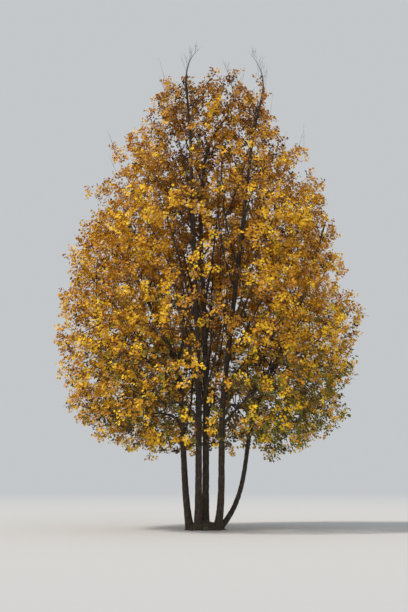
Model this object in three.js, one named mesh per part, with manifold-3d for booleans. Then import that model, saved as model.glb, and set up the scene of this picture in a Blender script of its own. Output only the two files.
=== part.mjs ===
// A clump-grown maple in autumn leaf: five stems from one root stool, their boughs, and the masses
// of foliage that the boughs carry. Millimetres, +Z up, the ground is Z = 0, and the view that the
// tree is described from looks along +Y, so left is -X, right is +X and the near side is -Y.
import * as THREE from "three";
import { mergeVertices } from "three/addons/utils/BufferGeometryUtils.js";
import Module from "manifold-3d";

const wasm = await Module();
wasm.setup();

// Driving dimensions of the whole tree
const TREE_HEIGHT = 14000;
const CROWN_AXIS = { x: 180, y: 40 };
const CELL_TALL = 1.3; // a mass is this much taller than it is wide
const CLEARANCE = 0.3; // between a limb's end and the limb that goes on from it
const FORK_CLEARANCE = 0.4; // between a bough and the facets of its stem
const SEED = 4231;

// The root stool, where the five stems have grown together
const STOOL = { halfWidth: 430, halfDepth: 330, height: 260, sides: 10, rows: 6, footSteps: 3 };
const SPURS = { count: 7, reach: 560, from: 0.35, kneeAt: 0.72, height: 150, knee: 20, tip: -40,
  radius: 70, tipShare: 0.4, unevenTurn: 0.2, unevenReach: 0.1, firstTurn: 0.3, sides: 5, steps: 2 };
const BELOW_GROUND = 60; // how far the feet run on before the flat cut at the ground

// Each stem: where its foot stands, how far it swings out of the stool (kick) and over what height,
// the heights at which it bends and by what slope in x and y, its girth, its top, and the height of
// the flat cut that parts it from the stool.
const STEMS = [
  { name: "stem_left", foot: [-390, 50], kick: [-210, 40], kickOver: 1100,
    bends: [[1800, -0.03, 0.02], [4600, -0.45, 0.07]], radius: 95, top: 9300, cut: 470 },
  { name: "stem_mid_left", foot: [-170, -130], kick: [20, -40], kickOver: 800,
    bends: [[3000, 0, -0.05], [4200, -0.035, -0.03]], radius: 100, top: 13000, cut: 820 },
  { name: "stem_mid_right", foot: [30, 90], kick: [25, 60], kickOver: 900,
    bends: [[4800, -0.04, 0.06], [9300, 0.14, 0.04]], radius: 100, top: 13650, cut: 820 },
  { name: "stem_right", foot: [350, -90], kick: [150, -50], kickOver: 450,
    bends: [[3400, 0.115, -0.05]], radius: 96, top: 13100, cut: 560 },
  { name: "stem_far_right", foot: [400, 110], kick: [880, 60], kickOver: 880,
    bends: [[3000, 0.45, 0.05], [6700, -0.25, 0]], radius: 68, top: 8700, cut: 470 },
];
const BEND_WIDTH = 400; // the height over which a stem eases into a bend
const STEM_TIP_SHARE = 0.2; // girth left at the top
const STEM_SHAPE = { sides: 7, steps: 10, taper: 0.85, over: 600 };
const FLARE = { extra: 0.5, over: 300 }; // the swelling of a stem's foot

// The crown, tier by tier from the ground up: the height of the tier's centres, how far its outline
// stands from the crown's axis, each mass's size, how many stand in the ring and from which turn,
// how steeply their tips point, how far below its mass a bough leaves its stem, and its arch.
const TIERS = [
  { name: "skirt", z: 3850, outline: 4420, size: 1500, count: 7, turn: 25.7, tipRise: -0.05,
    rise: 900, arch: 0.24 },
  { name: "belly", z: 5750, outline: 4800, size: 1720, count: 7, turn: 2, tipRise: 0.45,
    rise: 1900, arch: 0.04 },
  { name: "shoulder", z: 8000, outline: 4000, size: 1600, count: 6, turn: 0, tipRise: 0.85,
    rise: 2300, arch: -0.06 },
  { name: "neck", z: 10150, outline: 3100, size: 1420, count: 5, turn: 36, tipRise: 1.05,
    rise: 1900, arch: -0.07 },
  { name: "head", z: 11950, outline: 2300, size: 1200, count: 4, turn: 66, tipRise: 1.3,
    rise: 1500, arch: -0.07 },
];
// Masses that stand on the ends of stems instead of on boughs, by tier and place in its ring, and
// the tip of the bare leader that rises from some of them.
const STEM_TOPS = [
  { tier: "shoulder", place: 3, stem: "stem_left" },
  { tier: "shoulder", place: 0, stem: "stem_far_right" },
  { tier: "head", place: 2, stem: "stem_mid_left", leader: [-40, -560, TREE_HEIGHT - 60] },
  { tier: "head", place: 0, stem: "stem_mid_right", leader: [514, 620, TREE_HEIGHT] },
  { tier: "head", place: 3, stem: "stem_right", leader: [1257, -420, TREE_HEIGHT - 110] },
];
const RING_JITTER = { turn: 8, z: 200, size: 0.06 }; // degrees, mm, and a share of the size

// Boughs: girth as a share of the stem's, girth left at the tip, least radius, and how deep in its
// cell (as a share of the cell's size) a limb ends. A bough may stay beside its stem for the fork's
// share of their two radii, is at least shortest times the stem's radius long, and shifts up or
// down the stem, at a cost, where another limb is in its way.
const BOUGH = { share: 0.48, tipShare: 0.62, least: 30, entry: 0.8, lowest: 2050, belowTop: 300,
  fork: 4, shortest: 3, shiftCost: 0.9, sides: 5, steps: 3 };
const BOUGH_SHIFTS = [0, 260, -260, 520, -520, 780, 1040, -780];
const BOUGH_LOOKS = 12; // places along a bough where its clearance is measured
const LIMB_GAP = 25; // least space between two limbs that don't join

// A mass's stalk and twigs. Lengths of twigs and sprays are for a mass of the full size.
const FULL_SIZE = 1650;
const STALK = { tipShare: 0.68, reach: 0.9, bend: 0.42, endRoom: 520, sides: 4, steps: 3 };
const TWIG = { count: 9, first: 0.06, last: 0.9, forward: 0.5, aim: 0.8, jitter: 0.5,
  radius: 8.5, longest: 1500, least: 200, long: 980, room: 690 };
// Sprays of leaves: where they root on the stalk and on a twig's tip, and how they stand from a
// twig's side. A spray that doesn't fit is tilted, then made smaller.
const SPRAY = { length: 950, width: 800, thick: 24, widestAt: 0.45, gap: 6, leastTilt: 0.5,
  moreTilt: 0.9, stalkEnd: 0.96, twigEnd: 0.9, endSplay: 0.06 };
const SIDE_SPRAY = { first: 0.3, more: 0.25, splay: 0.95, jitter: 0.8 };
const SPRAY_SHRINKS = [1, 0.85, 0.7];
const SPRAY_TILTS = [0, 0.7, -0.7, 1.4];
// The bare leaders that stand out of the top, and the bare twigs on them
const LEADER = { girth: 0.8, tipGirth: 0.3, sides: 4, steps: 2, twigs: 3, first: 0.3, last: 0.65,
  length: 420, shorter: 0.4, splay: 0.6, lift: 0.3, turn: 2.4, radius: 4 };
const CELL_GAP = 14; // half the least space between two masses
const MARCH_STEP = 40;
const GOLDEN_ANGLE = Math.PI * (3 - Math.sqrt(5));

const UP = new THREE.Vector3(0, 0, 1);
const vec = (x, y, z) => new THREE.Vector3(x, y, z);
const shares = (steps) => Array.from({ length: steps + 1 }, (_, i) => i / steps);

// The same numbers on every run: a plain linear congruential sequence, one for each seed.
function sequence(seed) {
  let state = Math.imul(seed, 2654435761) >>> 0;
  const next = () => {
    state = (Math.imul(state, 1664525) + 1013904223) >>> 0;
    return state / 4294967296;
  };
  next();
  next();
  return next;
}

// The centre of a stem at a height: its foot, the swing out of the stool, and its eased bends
function stemPoint(stem, z) {
  const kick = 1 - Math.exp(-z / stem.kickOver);
  const point = vec(stem.foot[0] + stem.kick[0] * kick, stem.foot[1] + stem.kick[1] * kick, z);
  for (const [height, slopeX, slopeY] of stem.bends) {
    const climbed = BEND_WIDTH * Math.log1p(Math.exp((z - height) / BEND_WIDTH));
    point.x += slopeX * climbed;
    point.y += slopeY * climbed;
  }
  return point;
}

function stemDirection(stem, z) {
  const step = 5;
  return stemPoint(stem, z + step).sub(stemPoint(stem, z - step)).normalize();
}

function stemRadius(stem, z) {
  const left = Math.max(1 - z / (stem.top + STEM_SHAPE.over), 0);
  const girth = STEM_TIP_SHARE + (1 - STEM_TIP_SHARE) * Math.pow(left, STEM_SHAPE.taper);
  return stem.radius * girth * (1 + FLARE.extra * Math.exp(-Math.max(z, 0) / FLARE.over));
}

// A stretch of a stem between two heights, as a curve
class StemCurve extends THREE.Curve {
  constructor(stem, from, to) {
    super();
    Object.assign(this, { stem, from, to });
  }
  height(t) {
    return this.from + (this.to - this.from) * t;
  }
  getPoint(t) {
    return stemPoint(this.stem, this.height(t));
  }
  getTangent(t) {
    return stemDirection(this.stem, this.height(t));
  }
}

// That stretch as a limb, with something extra on its girth where a cut needs clearance
function stemStretch(stem, from, to, steps, extra = 0) {
  const curve = new StemCurve(stem, from, to);
  const radiusAt = (t) => stemRadius(stem, curve.height(t)) + extra;
  return { curve, radiusAt, sides: STEM_SHAPE.sides, steps };
}

// A round limb along a curve. A closed cylinder or cone is bent so that its axis follows the curve.
function limbGeometry({ curve, radiusAt, sides, steps, pointed = false }) {
  const straight = pointed
    ? new THREE.ConeGeometry(1, 1, sides, steps)
    : new THREE.CylinderGeometry(1, 1, 1, sides, steps);
  const place = straight.getAttribute("position");
  const frames = [];
  for (let i = 0; i <= steps; i++) {
    const t = i / steps;
    const along = curve.getTangent(t).normalize();
    const side = vec(1, 0, 0);
    if (Math.abs(along.x) > 0.8) side.set(0, 1, 0);
    side.addScaledVector(along, -side.dot(along)).normalize();
    frames.push({ centre: curve.getPoint(t), side, other: side.clone().cross(along), radius: radiusAt(t) });
  }
  for (let i = 0; i < place.count; i++) {
    const ring = frames[Math.round((place.getY(i) + 0.5) * steps)];
    const out = Math.hypot(place.getX(i), place.getZ(i));
    const at = ring.centre.clone();
    if (out > 1e-6) {
      at.addScaledVector(ring.side, (ring.radius * place.getX(i)) / out);
      at.addScaledVector(ring.other, (ring.radius * place.getZ(i)) / out);
    }
    place.setXYZ(i, at.x, at.y, at.z);
  }
  return straight;
}

// A closed geometry as a manifold solid, and back
function solidOf(geometry) {
  const bare = geometry.clone();
  bare.deleteAttribute("normal");
  bare.deleteAttribute("uv");
  const merged = mergeVertices(bare, 1e-3);
  return new wasm.Manifold(
    new wasm.Mesh({
      numProp: 3,
      vertProperties: new Float32Array(merged.getAttribute("position").array),
      triVerts: new Uint32Array(merged.index.array),
    }),
  );
}

function geometryOf(solid) {
  const mesh = solid.getMesh();
  const geometry = new THREE.BufferGeometry();
  geometry.setAttribute("position", new THREE.BufferAttribute(new Float32Array(mesh.vertProperties), 3));
  geometry.setIndex(new THREE.BufferAttribute(new Uint32Array(mesh.triVerts), 1));
  geometry.computeVertexNormals();
  return geometry;
}

// Limbs as strings of short tapering segments, for measuring how near something comes to them
const segments = [];

function addSegments(name, { curve, radiusAt, steps }) {
  for (let i = 0; i < steps; i++) {
    const [from, to] = [i / steps, (i + 1) / steps];
    const radius = Math.max(radiusAt(from), radiusAt(to));
    segments.push({ name, a: curve.getPoint(from), b: curve.getPoint(to), radius });
  }
}

// A point in the axis of a faceted limb, which runs straight between its rings
function axisPoint({ curve, steps }, share) {
  const ring = Math.min(Math.floor(share * steps), steps - 1);
  return curve.getPoint(ring / steps).lerp(curve.getPoint((ring + 1) / steps), share * steps - ring);
}

// Clear space between a point and the nearest limb that isn't one of those named
function spaceAround(point, ignored) {
  let least = Infinity;
  const line = new THREE.Line3();
  const nearest = new THREE.Vector3();
  for (const { name, a, b, radius } of segments) {
    if (ignored.includes(name)) continue;
    line.set(a, b).closestPointToPoint(point, true, nearest);
    least = Math.min(least, nearest.distanceTo(point) - radius);
  }
  return least;
}

// The masses of foliage, as cells: their centres and sizes by tier, with a little unevenness
function massCells() {
  const cells = [];
  for (const tier of TIERS) {
    for (let place = 0; place < tier.count; place++) {
      const next = sequence(SEED + 101 * cells.length);
      const spread = (most) => (next() - 0.5) * 2 * most;
      const turn = THREE.MathUtils.degToRad(
        tier.turn + (360 * place) / tier.count + spread(RING_JITTER.turn),
      );
      const outward = vec(Math.cos(turn), Math.sin(turn), 0);
      const z = tier.z + spread(RING_JITTER.z);
      const size = tier.size * (1 + spread(RING_JITTER.size));
      const centre = vec(CROWN_AXIS.x, CROWN_AXIS.y, z).addScaledVector(outward, tier.outline - size);
      const cell = { name: `${tier.name}_leaves_${place + 1}`, tier, centre, size, outward };
      cell.seed = SEED + 977 * (cells.length + 1);
      cell.scale = size / FULL_SIZE;
      const top = STEM_TOPS.find((t) => t.tier === tier.name && t.place === place);
      if (top) {
        cell.stem = STEMS.find((s) => s.name === top.stem);
        cell.stem.end = z - size * CELL_TALL * BOUGH.entry;
        cell.leader = top.leader;
      }
      cells.push(cell);
    }
  }
  return cells;
}

// How far a point is from the planes that part its cell from the neighbours, in mm
function depthBesideNeighbours(cells, cell, point) {
  const power = (c) => {
    const dz = (point.z - c.centre.z) / CELL_TALL;
    return (point.x - c.centre.x) ** 2 + (point.y - c.centre.y) ** 2 + dz * dz - c.size * c.size;
  };
  const own = power(cell);
  let depth = Infinity;
  for (const other of cells) {
    if (other === cell) continue;
    const apart = Math.hypot(
      other.centre.x - cell.centre.x,
      other.centre.y - cell.centre.y,
      (other.centre.z - cell.centre.z) / CELL_TALL,
    );
    depth = Math.min(depth, (power(other) - own) / (2 * apart));
  }
  return depth;
}

// How far inside its cell a point lies: the cell is an egg, cut by those planes
function depthInCell(cells, cell, point) {
  const dz = (point.z - cell.centre.z) / CELL_TALL;
  const out = Math.hypot(point.x - cell.centre.x, point.y - cell.centre.y, dz);
  return Math.min(cell.size - out, depthBesideNeighbours(cells, cell, point));
}

// A bough from a stem to the near side of its cell, from the first place where it clears every limb
function placeBough(cell) {
  const tries = [];
  for (const shift of BOUGH_SHIFTS) {
    for (const stem of STEMS) {
      const z = Math.max(cell.centre.z - cell.tier.rise + shift, BOUGH.lowest);
      if (z > stem.end - BOUGH.belowTop) continue;
      const root = stemPoint(stem, z);
      const across = Math.hypot(cell.centre.x - root.x, cell.centre.y - root.y);
      tries.push({ stem, z, root, cost: across + Math.abs(shift) * BOUGH.shiftCost });
    }
  }
  tries.sort((p, q) => p.cost - q.cost);
  for (const { stem, z, root } of tries) {
    const inward = root.clone().sub(cell.centre).normalize();
    const entry = cell.centre.clone().addScaledVector(inward, cell.size * BOUGH.entry);
    const run = entry.distanceTo(root);
    const knee = root.clone().lerp(entry, 0.5).addScaledVector(UP, run * cell.tier.arch);
    const curve = new THREE.QuadraticBezierCurve3(root, knee, entry);
    const thick = Math.max(stemRadius(stem, z) * BOUGH.share, BOUGH.least);
    const radiusAt = (t) => thick * (1 - (1 - BOUGH.tipShare) * t);
    const girth = stemRadius(stem, z);
    const isClear = (t) => {
      const point = curve.getPoint(t);
      const beside = point.distanceTo(root) < BOUGH.fork * (girth + thick) ? [stem.name] : [];
      return spaceAround(point, beside) > radiusAt(t) + LIMB_GAP;
    };
    if (run > girth * BOUGH.shortest && shares(BOUGH_LOOKS).every(isClear)) {
      return { stem, curve, radiusAt, sides: BOUGH.sides, steps: BOUGH.steps };
    }
  }
  throw new Error("no clear way to " + cell.name);
}

// The leafy stalk inside a cell, from where its limb enters to its far, upper side
function placeStalk(cell, from, direction, thick) {
  const rise = Math.atan(cell.tier.tipRise);
  const start = from.clone().addScaledVector(direction, CLEARANCE);
  const reach = cell.size * STALK.reach;
  const tip = cell.centre.clone().addScaledVector(cell.outward, Math.cos(rise) * reach);
  tip.z += Math.sin(rise) * reach * CELL_TALL;
  tip.lerp(start, STALK.endRoom / tip.distanceTo(start));
  const knee = start.clone().addScaledVector(direction, start.distanceTo(tip) * STALK.bend);
  const curve = new THREE.QuadraticBezierCurve3(start, knee, tip);
  const radiusAt = (t) => thick * (1 - (1 - STALK.tipShare) * t);
  return { curve, radiusAt, sides: STALK.sides, steps: STALK.steps };
}

// A direction turned away from another: by a splay, towards a turn about it
function turnedFrom(way, turn, splay) {
  const side = way.clone().cross(UP).normalize().applyAxisAngle(way, turn);
  return way.clone().multiplyScalar(Math.cos(splay)).addScaledVector(side, Math.sin(splay));
}

// The place on the stalk from which a twig can lean forward to a point beside it
function twigRoot(cell, target) {
  const { stalk } = cell;
  const looks = shares(20);
  const apart = looks.map((t) => axisPoint(stalk, t).distanceTo(target));
  const nearest = apart.indexOf(Math.min(...apart));
  const back = (apart[nearest] * TWIG.forward) / stalk.curve.getLength();
  return THREE.MathUtils.clamp(looks[nearest] - back, TWIG.first, TWIG.last);
}

// Twigs from the stalk towards points spread evenly round the cell by the golden angle. A twig runs
// to the edge of its cell less the room for its end spray, and stops short of any limb.
function placeTwigs(cells, cell) {
  const next = sequence(cell.seed);
  const firstTurn = next() * 2 * Math.PI;
  const twigs = [];
  for (let i = 0; i < TWIG.count; i++) {
    const height = 1 - (2 * i + 1) / TWIG.count;
    const turn = firstTurn + i * GOLDEN_ANGLE + (next() - 0.5) * TWIG.jitter;
    const ring = Math.sqrt(1 - height * height);
    const spread = vec(ring * Math.cos(turn), ring * Math.sin(turn), height * CELL_TALL);
    const target = cell.centre.clone().addScaledVector(spread, cell.size * TWIG.aim);
    const root = axisPoint(cell.stalk, twigRoot(cell, target));
    const way = target.sub(root).normalize();
    const spin = next();
    const point = root.clone();
    let reach = 0;
    const room = TWIG.room * cell.scale;
    while (reach < TWIG.longest + room) {
      point.addScaledVector(way, MARCH_STEP);
      if (depthInCell(cells, cell, point) < CELL_GAP + TWIG.radius) break;
      if (spaceAround(point, [cell.name]) < 2 * TWIG.radius) break;
      reach += MARCH_STEP;
    }
    const length = reach - room;
    if (length < TWIG.least * cell.scale) continue;
    const curve = new THREE.LineCurve3(root, root.clone().addScaledVector(way, length));
    twigs.push({ curve, radiusAt: () => TWIG.radius, sides: 3, steps: 1, pointed: true, way, length, spin });
  }
  return twigs;
}

// A spray of leaves: a thin kite of eight faces from its root to its tip
function sprayGeometry(root, way, tilt, length) {
  const across = way.clone().cross(UP).normalize().applyAxisAngle(way, tilt);
  const thickWay = way.clone().cross(across);
  const kite = new THREE.OctahedronGeometry(1);
  const place = kite.getAttribute("position");
  const half = { width: (length * SPRAY.width) / SPRAY.length / 2, thick: SPRAY.thick / 2 };
  for (let i = 0; i < place.count; i++) {
    const isEnd = Math.abs(place.getX(i)) > 0.5;
    const share = isEnd ? (place.getX(i) + 1) / 2 : SPRAY.widestAt;
    const at = root.clone().addScaledVector(way, length * share);
    at.addScaledVector(across, place.getY(i) * half.width);
    at.addScaledVector(thickWay, place.getZ(i) * half.thick);
    place.setXYZ(i, at.x, at.y, at.z);
  }
  return kite;
}

// The largest spray at a root that stays in its cell and clear of everything given, or nothing
function fitSpray(cells, cell, root, way, tilt, others) {
  const corner = new THREE.Vector3();
  for (const shrink of SPRAY_SHRINKS) {
    for (const extra of SPRAY_TILTS) {
      const geometry = sprayGeometry(root, way, tilt + extra, SPRAY.length * cell.scale * shrink);
      const place = geometry.getAttribute("position");
      let inside = true;
      for (let i = 0; i < place.count && inside; i++) {
        inside = depthInCell(cells, cell, corner.fromBufferAttribute(place, i)) > CELL_GAP;
      }
      if (!inside) continue;
      const solid = solidOf(geometry);
      if (others.every((other) => solid.minGap(other, 2 * SPRAY.gap) > SPRAY.gap)) return solid;
    }
  }
  return null;
}

// One mass: its stalk, its twigs, and its sprays: one on from each twig's tip, one or two from its
// side, and one at the stalk's end. The bare leader of a stem's top has a few bare twigs.
function massSolid(cells, cell, limbSolids) {
  const next = sequence(cell.seed + 7);
  const stalk = solidOf(limbGeometry(cell.stalk));
  const twigs = placeTwigs(cells, cell);
  const twigSolids = twigs.map((twig) => solidOf(limbGeometry(twig)));
  if (cell.leader) twigSolids.push(...leaderSolids(cells, cell));
  const sprays = [];
  const grow = (root, way, own) => {
    const wood = [...twigSolids, stalk].filter((solid) => solid !== own);
    const tilt = (next() < 0.5 ? 1 : -1) * (SPRAY.leastTilt + next() * SPRAY.moreTilt);
    const spray = fitSpray(cells, cell, root, way, tilt, [...sprays, ...wood, ...limbSolids]);
    if (spray) sprays.push(spray);
  };
  if (!cell.leader) {
    grow(axisPoint(cell.stalk, SPRAY.stalkEnd), cell.stalk.curve.getTangent(1), stalk);
  }
  twigs.forEach((twig, i) => {
    const way = turnedFrom(twig.way, next() * 2 * Math.PI, SPRAY.endSplay);
    grow(twig.curve.getPoint(SPRAY.twigEnd), way, twigSolids[i]);
  });
  twigs.forEach((twig, i) => {
    const isLong = twig.length > TWIG.long * cell.scale;
    const turns = isLong ? [0, Math.PI] : [twig.spin < 0.5 ? 0 : Math.PI];
    for (const turn of turns) {
      const share = SIDE_SPRAY.first + SIDE_SPRAY.more * next();
      const jitter = (next() - 0.5) * SIDE_SPRAY.jitter;
      const way = turnedFrom(twig.way, turn + jitter, SIDE_SPRAY.splay);
      grow(twig.curve.getPoint(share), way, twigSolids[i]);
    }
  });
  return largestPart([stalk, ...twigSolids, ...sprays].reduce((whole, part) => whole.add(part)));
}

// The bare leader that rises from a stem's top out of its leaves, with its own bare twigs
function leaderSolids(cells, cell) {
  const curve = new THREE.LineCurve3(axisPoint(cell.stalk, SPRAY.stalkEnd), vec(...cell.leader));
  const radiusAt = (t) => cell.stalk.radiusAt(1) * THREE.MathUtils.lerp(LEADER.girth, LEADER.tipGirth, t);
  const { sides, steps } = LEADER;
  const solids = [solidOf(limbGeometry({ curve, radiusAt, sides, steps, pointed: true }))];
  for (let i = 0; i < LEADER.twigs; i++) {
    const share = THREE.MathUtils.lerp(LEADER.first, LEADER.last, i / (LEADER.twigs - 1));
    const root = curve.getPoint(share);
    const way = turnedFrom(curve.getTangent(0), i * LEADER.turn, LEADER.splay);
    way.addScaledVector(UP, LEADER.lift).normalize();
    const tip = root.clone().addScaledVector(way, LEADER.length * (1 - LEADER.shorter * share));
    if (depthBesideNeighbours(cells, cell, tip) < CELL_GAP) continue;
    const twig = { curve: new THREE.LineCurve3(root, tip), radiusAt: () => LEADER.radius };
    solids.push(solidOf(limbGeometry({ ...twig, sides: 3, steps: 1, pointed: true })));
  }
  return solids;
}

function largestPart(solid) {
  return solid.decompose().sort((p, q) => q.volume() - p.volume())[0];
}

// One spur of the stool: a root that swells out of it and runs into the ground
function spurGeometry(i) {
  const uneven = SPURS.unevenTurn * Math.sin(5 * i);
  const turn = SPURS.firstTurn + (2 * Math.PI * i) / SPURS.count + uneven;
  const reach = SPURS.reach * (1 + SPURS.unevenReach * Math.cos(3 * i));
  const away = vec(Math.cos(turn), (Math.sin(turn) * STOOL.halfDepth) / STOOL.halfWidth, 0);
  const from = vec(0, 0, SPURS.height).addScaledVector(away, reach * SPURS.from);
  const knee = vec(0, 0, SPURS.knee).addScaledVector(away, reach * SPURS.kneeAt);
  const tip = vec(0, 0, SPURS.tip).addScaledVector(away, reach);
  const curve = new THREE.QuadraticBezierCurve3(from, knee, tip);
  const radiusAt = (t) => SPURS.radius * THREE.MathUtils.lerp(1, SPURS.tipShare, t);
  return limbGeometry({ curve, radiusAt, sides: SPURS.sides, steps: SPURS.steps });
}

// The root stool: a low dome with spurs, the flared feet of the five stems fused into it, cut flat
// at the ground
function stoolSolid() {
  const dome = new THREE.SphereGeometry(1, STOOL.sides, STOOL.rows);
  dome.rotateX(Math.PI / 2).scale(STOOL.halfWidth, STOOL.halfDepth, STOOL.height);
  let solid = solidOf(dome);
  for (const stem of STEMS) {
    const foot = stemStretch(stem, -BELOW_GROUND, stem.cut, STOOL.footSteps);
    solid = solid.add(solidOf(limbGeometry(foot)));
  }
  for (let i = 0; i < SPURS.count; i++) solid = solid.add(solidOf(spurGeometry(i)));
  const ground = new THREE.BoxGeometry(4000, 4000, 1000).translate(0, 0, -500);
  return solid.subtract(solidOf(ground));
}

const BARK = { stool: 0x3f3830, stem: 0x453d35, bough: 0x4b4339 };
const LEAF = { skirt: 0xe0b01c, belly: 0xd89c1e, shoulder: 0xc98622, neck: 0xb97524, head: 0xc27d2c };

const tree = new THREE.Group();
tree.name = "maple_tree";

function addNode(name, geometry, color, roughness) {
  const mesh = new THREE.Mesh(geometry, new THREE.MeshStandardMaterial({ color, roughness, metalness: 0 }));
  mesh.name = name;
  tree.add(mesh);
}

const cells = massCells();
addNode("root_stool", geometryOf(stoolSolid()), BARK.stool, 0.9);

// Stems start a hair above the stool's cuts. A stem's cutter is the stem with a hair of clearance.
const limbSolids = new Map();
for (const stem of STEMS) {
  const start = stem.cut + CLEARANCE;
  const body = stemStretch(stem, start, stem.end, STEM_SHAPE.steps);
  const cutter = stemStretch(stem, start, stem.end, STEM_SHAPE.steps, FORK_CLEARANCE);
  addSegments(stem.name, stemStretch(stem, 0, start, STOOL.footSteps));
  addSegments(stem.name, body);
  stem.cutter = solidOf(limbGeometry(cutter));
  limbSolids.set(stem.name, solidOf(limbGeometry(body)));
  addNode(stem.name, limbGeometry(body), BARK.stem, 0.9);
}

// Boughs start in their stem's axis and are cut clear of its bark
for (const cell of cells.filter((c) => !c.stem)) {
  cell.bough = placeBough(cell);
  const name = cell.name.replace("leaves", "bough");
  addSegments(name, cell.bough);
  const solid = largestPart(solidOf(limbGeometry(cell.bough)).subtract(cell.bough.stem.cutter));
  limbSolids.set(name, solid);
  addNode(name, geometryOf(solid), BARK.bough, 0.9);
}

// Stalks go on from the tip of a bough or of a stem
for (const cell of cells) {
  const { bough, stem } = cell;
  cell.stalk = bough
    ? placeStalk(cell, bough.curve.getPoint(1), bough.curve.getTangent(1), bough.radiusAt(1))
    : placeStalk(cell, stemPoint(stem, stem.end), stemDirection(stem, stem.end), stemRadius(stem, stem.end));
  addSegments(cell.name, cell.stalk);
  limbSolids.set(cell.name, solidOf(limbGeometry(cell.stalk)));
}

for (const cell of cells) {
  const others = [...limbSolids].filter(([name]) => name !== cell.name).map(([, solid]) => solid);
  addNode(cell.name, geometryOf(massSolid(cells, cell, others)), LEAF[cell.tier.name], 0.6);
}

export default tree;
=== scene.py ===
"""Dresses a clump-grown maple in autumn leaf: bark with its relief, limbs, twigs and leaves.

The crown grows by the rule that its solids follow, carried on to finer twigs and to leaves. That
rule's sizes are millimetres and the meshes are metres. Left is -X, right is +X, near is -Y.
Points, shoots and leaves are numpy arrays with a row for each, and limbs are curves of Vectors.
"""

import math
from functools import lru_cache
from types import SimpleNamespace as Sizes

import bmesh
import bpy
import numpy as np
from bpy.props import FloatProperty, FloatVectorProperty, IntProperty, PointerProperty
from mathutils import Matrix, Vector, noise


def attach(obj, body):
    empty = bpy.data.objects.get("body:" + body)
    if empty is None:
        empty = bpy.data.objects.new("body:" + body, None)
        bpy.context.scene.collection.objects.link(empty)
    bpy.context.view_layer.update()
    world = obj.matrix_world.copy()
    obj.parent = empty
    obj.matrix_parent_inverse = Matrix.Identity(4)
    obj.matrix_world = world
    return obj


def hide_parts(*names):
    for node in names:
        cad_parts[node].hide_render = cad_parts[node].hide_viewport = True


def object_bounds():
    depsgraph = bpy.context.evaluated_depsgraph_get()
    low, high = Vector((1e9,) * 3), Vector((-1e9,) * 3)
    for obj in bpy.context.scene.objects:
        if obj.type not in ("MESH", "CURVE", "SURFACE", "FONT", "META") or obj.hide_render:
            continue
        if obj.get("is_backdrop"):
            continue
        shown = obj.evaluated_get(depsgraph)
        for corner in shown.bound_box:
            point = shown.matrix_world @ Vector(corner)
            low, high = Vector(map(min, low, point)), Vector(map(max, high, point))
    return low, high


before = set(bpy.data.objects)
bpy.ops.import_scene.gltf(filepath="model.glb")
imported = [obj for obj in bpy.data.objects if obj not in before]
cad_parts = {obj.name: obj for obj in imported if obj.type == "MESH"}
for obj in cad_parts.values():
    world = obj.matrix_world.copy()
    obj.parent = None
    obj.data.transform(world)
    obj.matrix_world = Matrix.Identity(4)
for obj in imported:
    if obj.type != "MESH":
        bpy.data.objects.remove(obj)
CAD_BOX = [list(corner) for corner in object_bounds()]

bl_info = {
    "name": "Autumn maple",
    "version": (1, 0, 0),
    "blender": (4, 5, 0),
    "location": "3D View > Sidebar > Maple",
    "description": "Bark, limbs, twigs and leaves of a clump-grown maple in autumn leaf",
    "category": "Object",
}

MM = 0.001
UP = Vector((0, 0, 1))
SEED = 4231

# The whole tree
TREE_HEIGHT = 14000
CROWN_AXIS = (180, 40)
CELL_TALL = 1.3  # a mass is this much taller than it is wide
CLEARANCE = 0.3  # the gap between a limb's end and the stalk that goes on from it

# The root stool with its spurs. The feet of the stems run up through it from foot, and are
# narrower by a share at their tops. All is fused in voxels, given in metres, and eased.
STOOL = Sizes(half_width=430, half_depth=330, height=260, foot=-60, narrower=0.1, over=100,
              voxel=0.013, ease=0.5, ease_times=8)
SPURS = Sizes(count=7, reach=620, start=0.35, knee_at=0.7, height=150, knee=35, tip=-50, radius=85,
              tip_share=0.55, uneven_turn=0.2, uneven_reach=0.1, first_turn=0.3, steps=6)
# The five stems. Each leaves its foot with a kick sideways, spent over a height, and changes its
# slope at its bends, which are (height, to the right, to the far side).
STEMS = [
    dict(name="stem_left", foot=(-390, 50), kick=(-210, 40), kick_over=1100,
         bends=((1800, -0.03, 0.02), (4600, -0.45, 0.07)), radius=95, top=9300, cut=470),
    dict(name="stem_mid_left", foot=(-170, -130), kick=(20, -40), kick_over=800,
         bends=((3000, 0, -0.05), (4200, -0.035, -0.03)), radius=100, top=13000, cut=820),
    dict(name="stem_mid_right", foot=(30, 90), kick=(25, 60), kick_over=900,
         bends=((4800, -0.04, 0.06), (9300, 0.14, 0.04)), radius=100, top=13650, cut=820),
    dict(name="stem_right", foot=(350, -90), kick=(150, -50), kick_over=450,
         bends=((3400, 0.115, -0.05),), radius=96, top=13100, cut=560),
    dict(name="stem_far_right", foot=(400, 110), kick=(880, 60), kick_over=880,
         bends=((3000, 0.45, 0.05), (6700, -0.25, 0)), radius=68, top=8700, cut=470),
]
BEND_WIDTH = 400  # the height over which a stem bends
STEM_TIP_SHARE = 0.2
STEM_TAPER = Sizes(power=0.85, over=600, steps=10, foot_steps=3)
FLARE = Sizes(extra=0.5, over=300)

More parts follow.
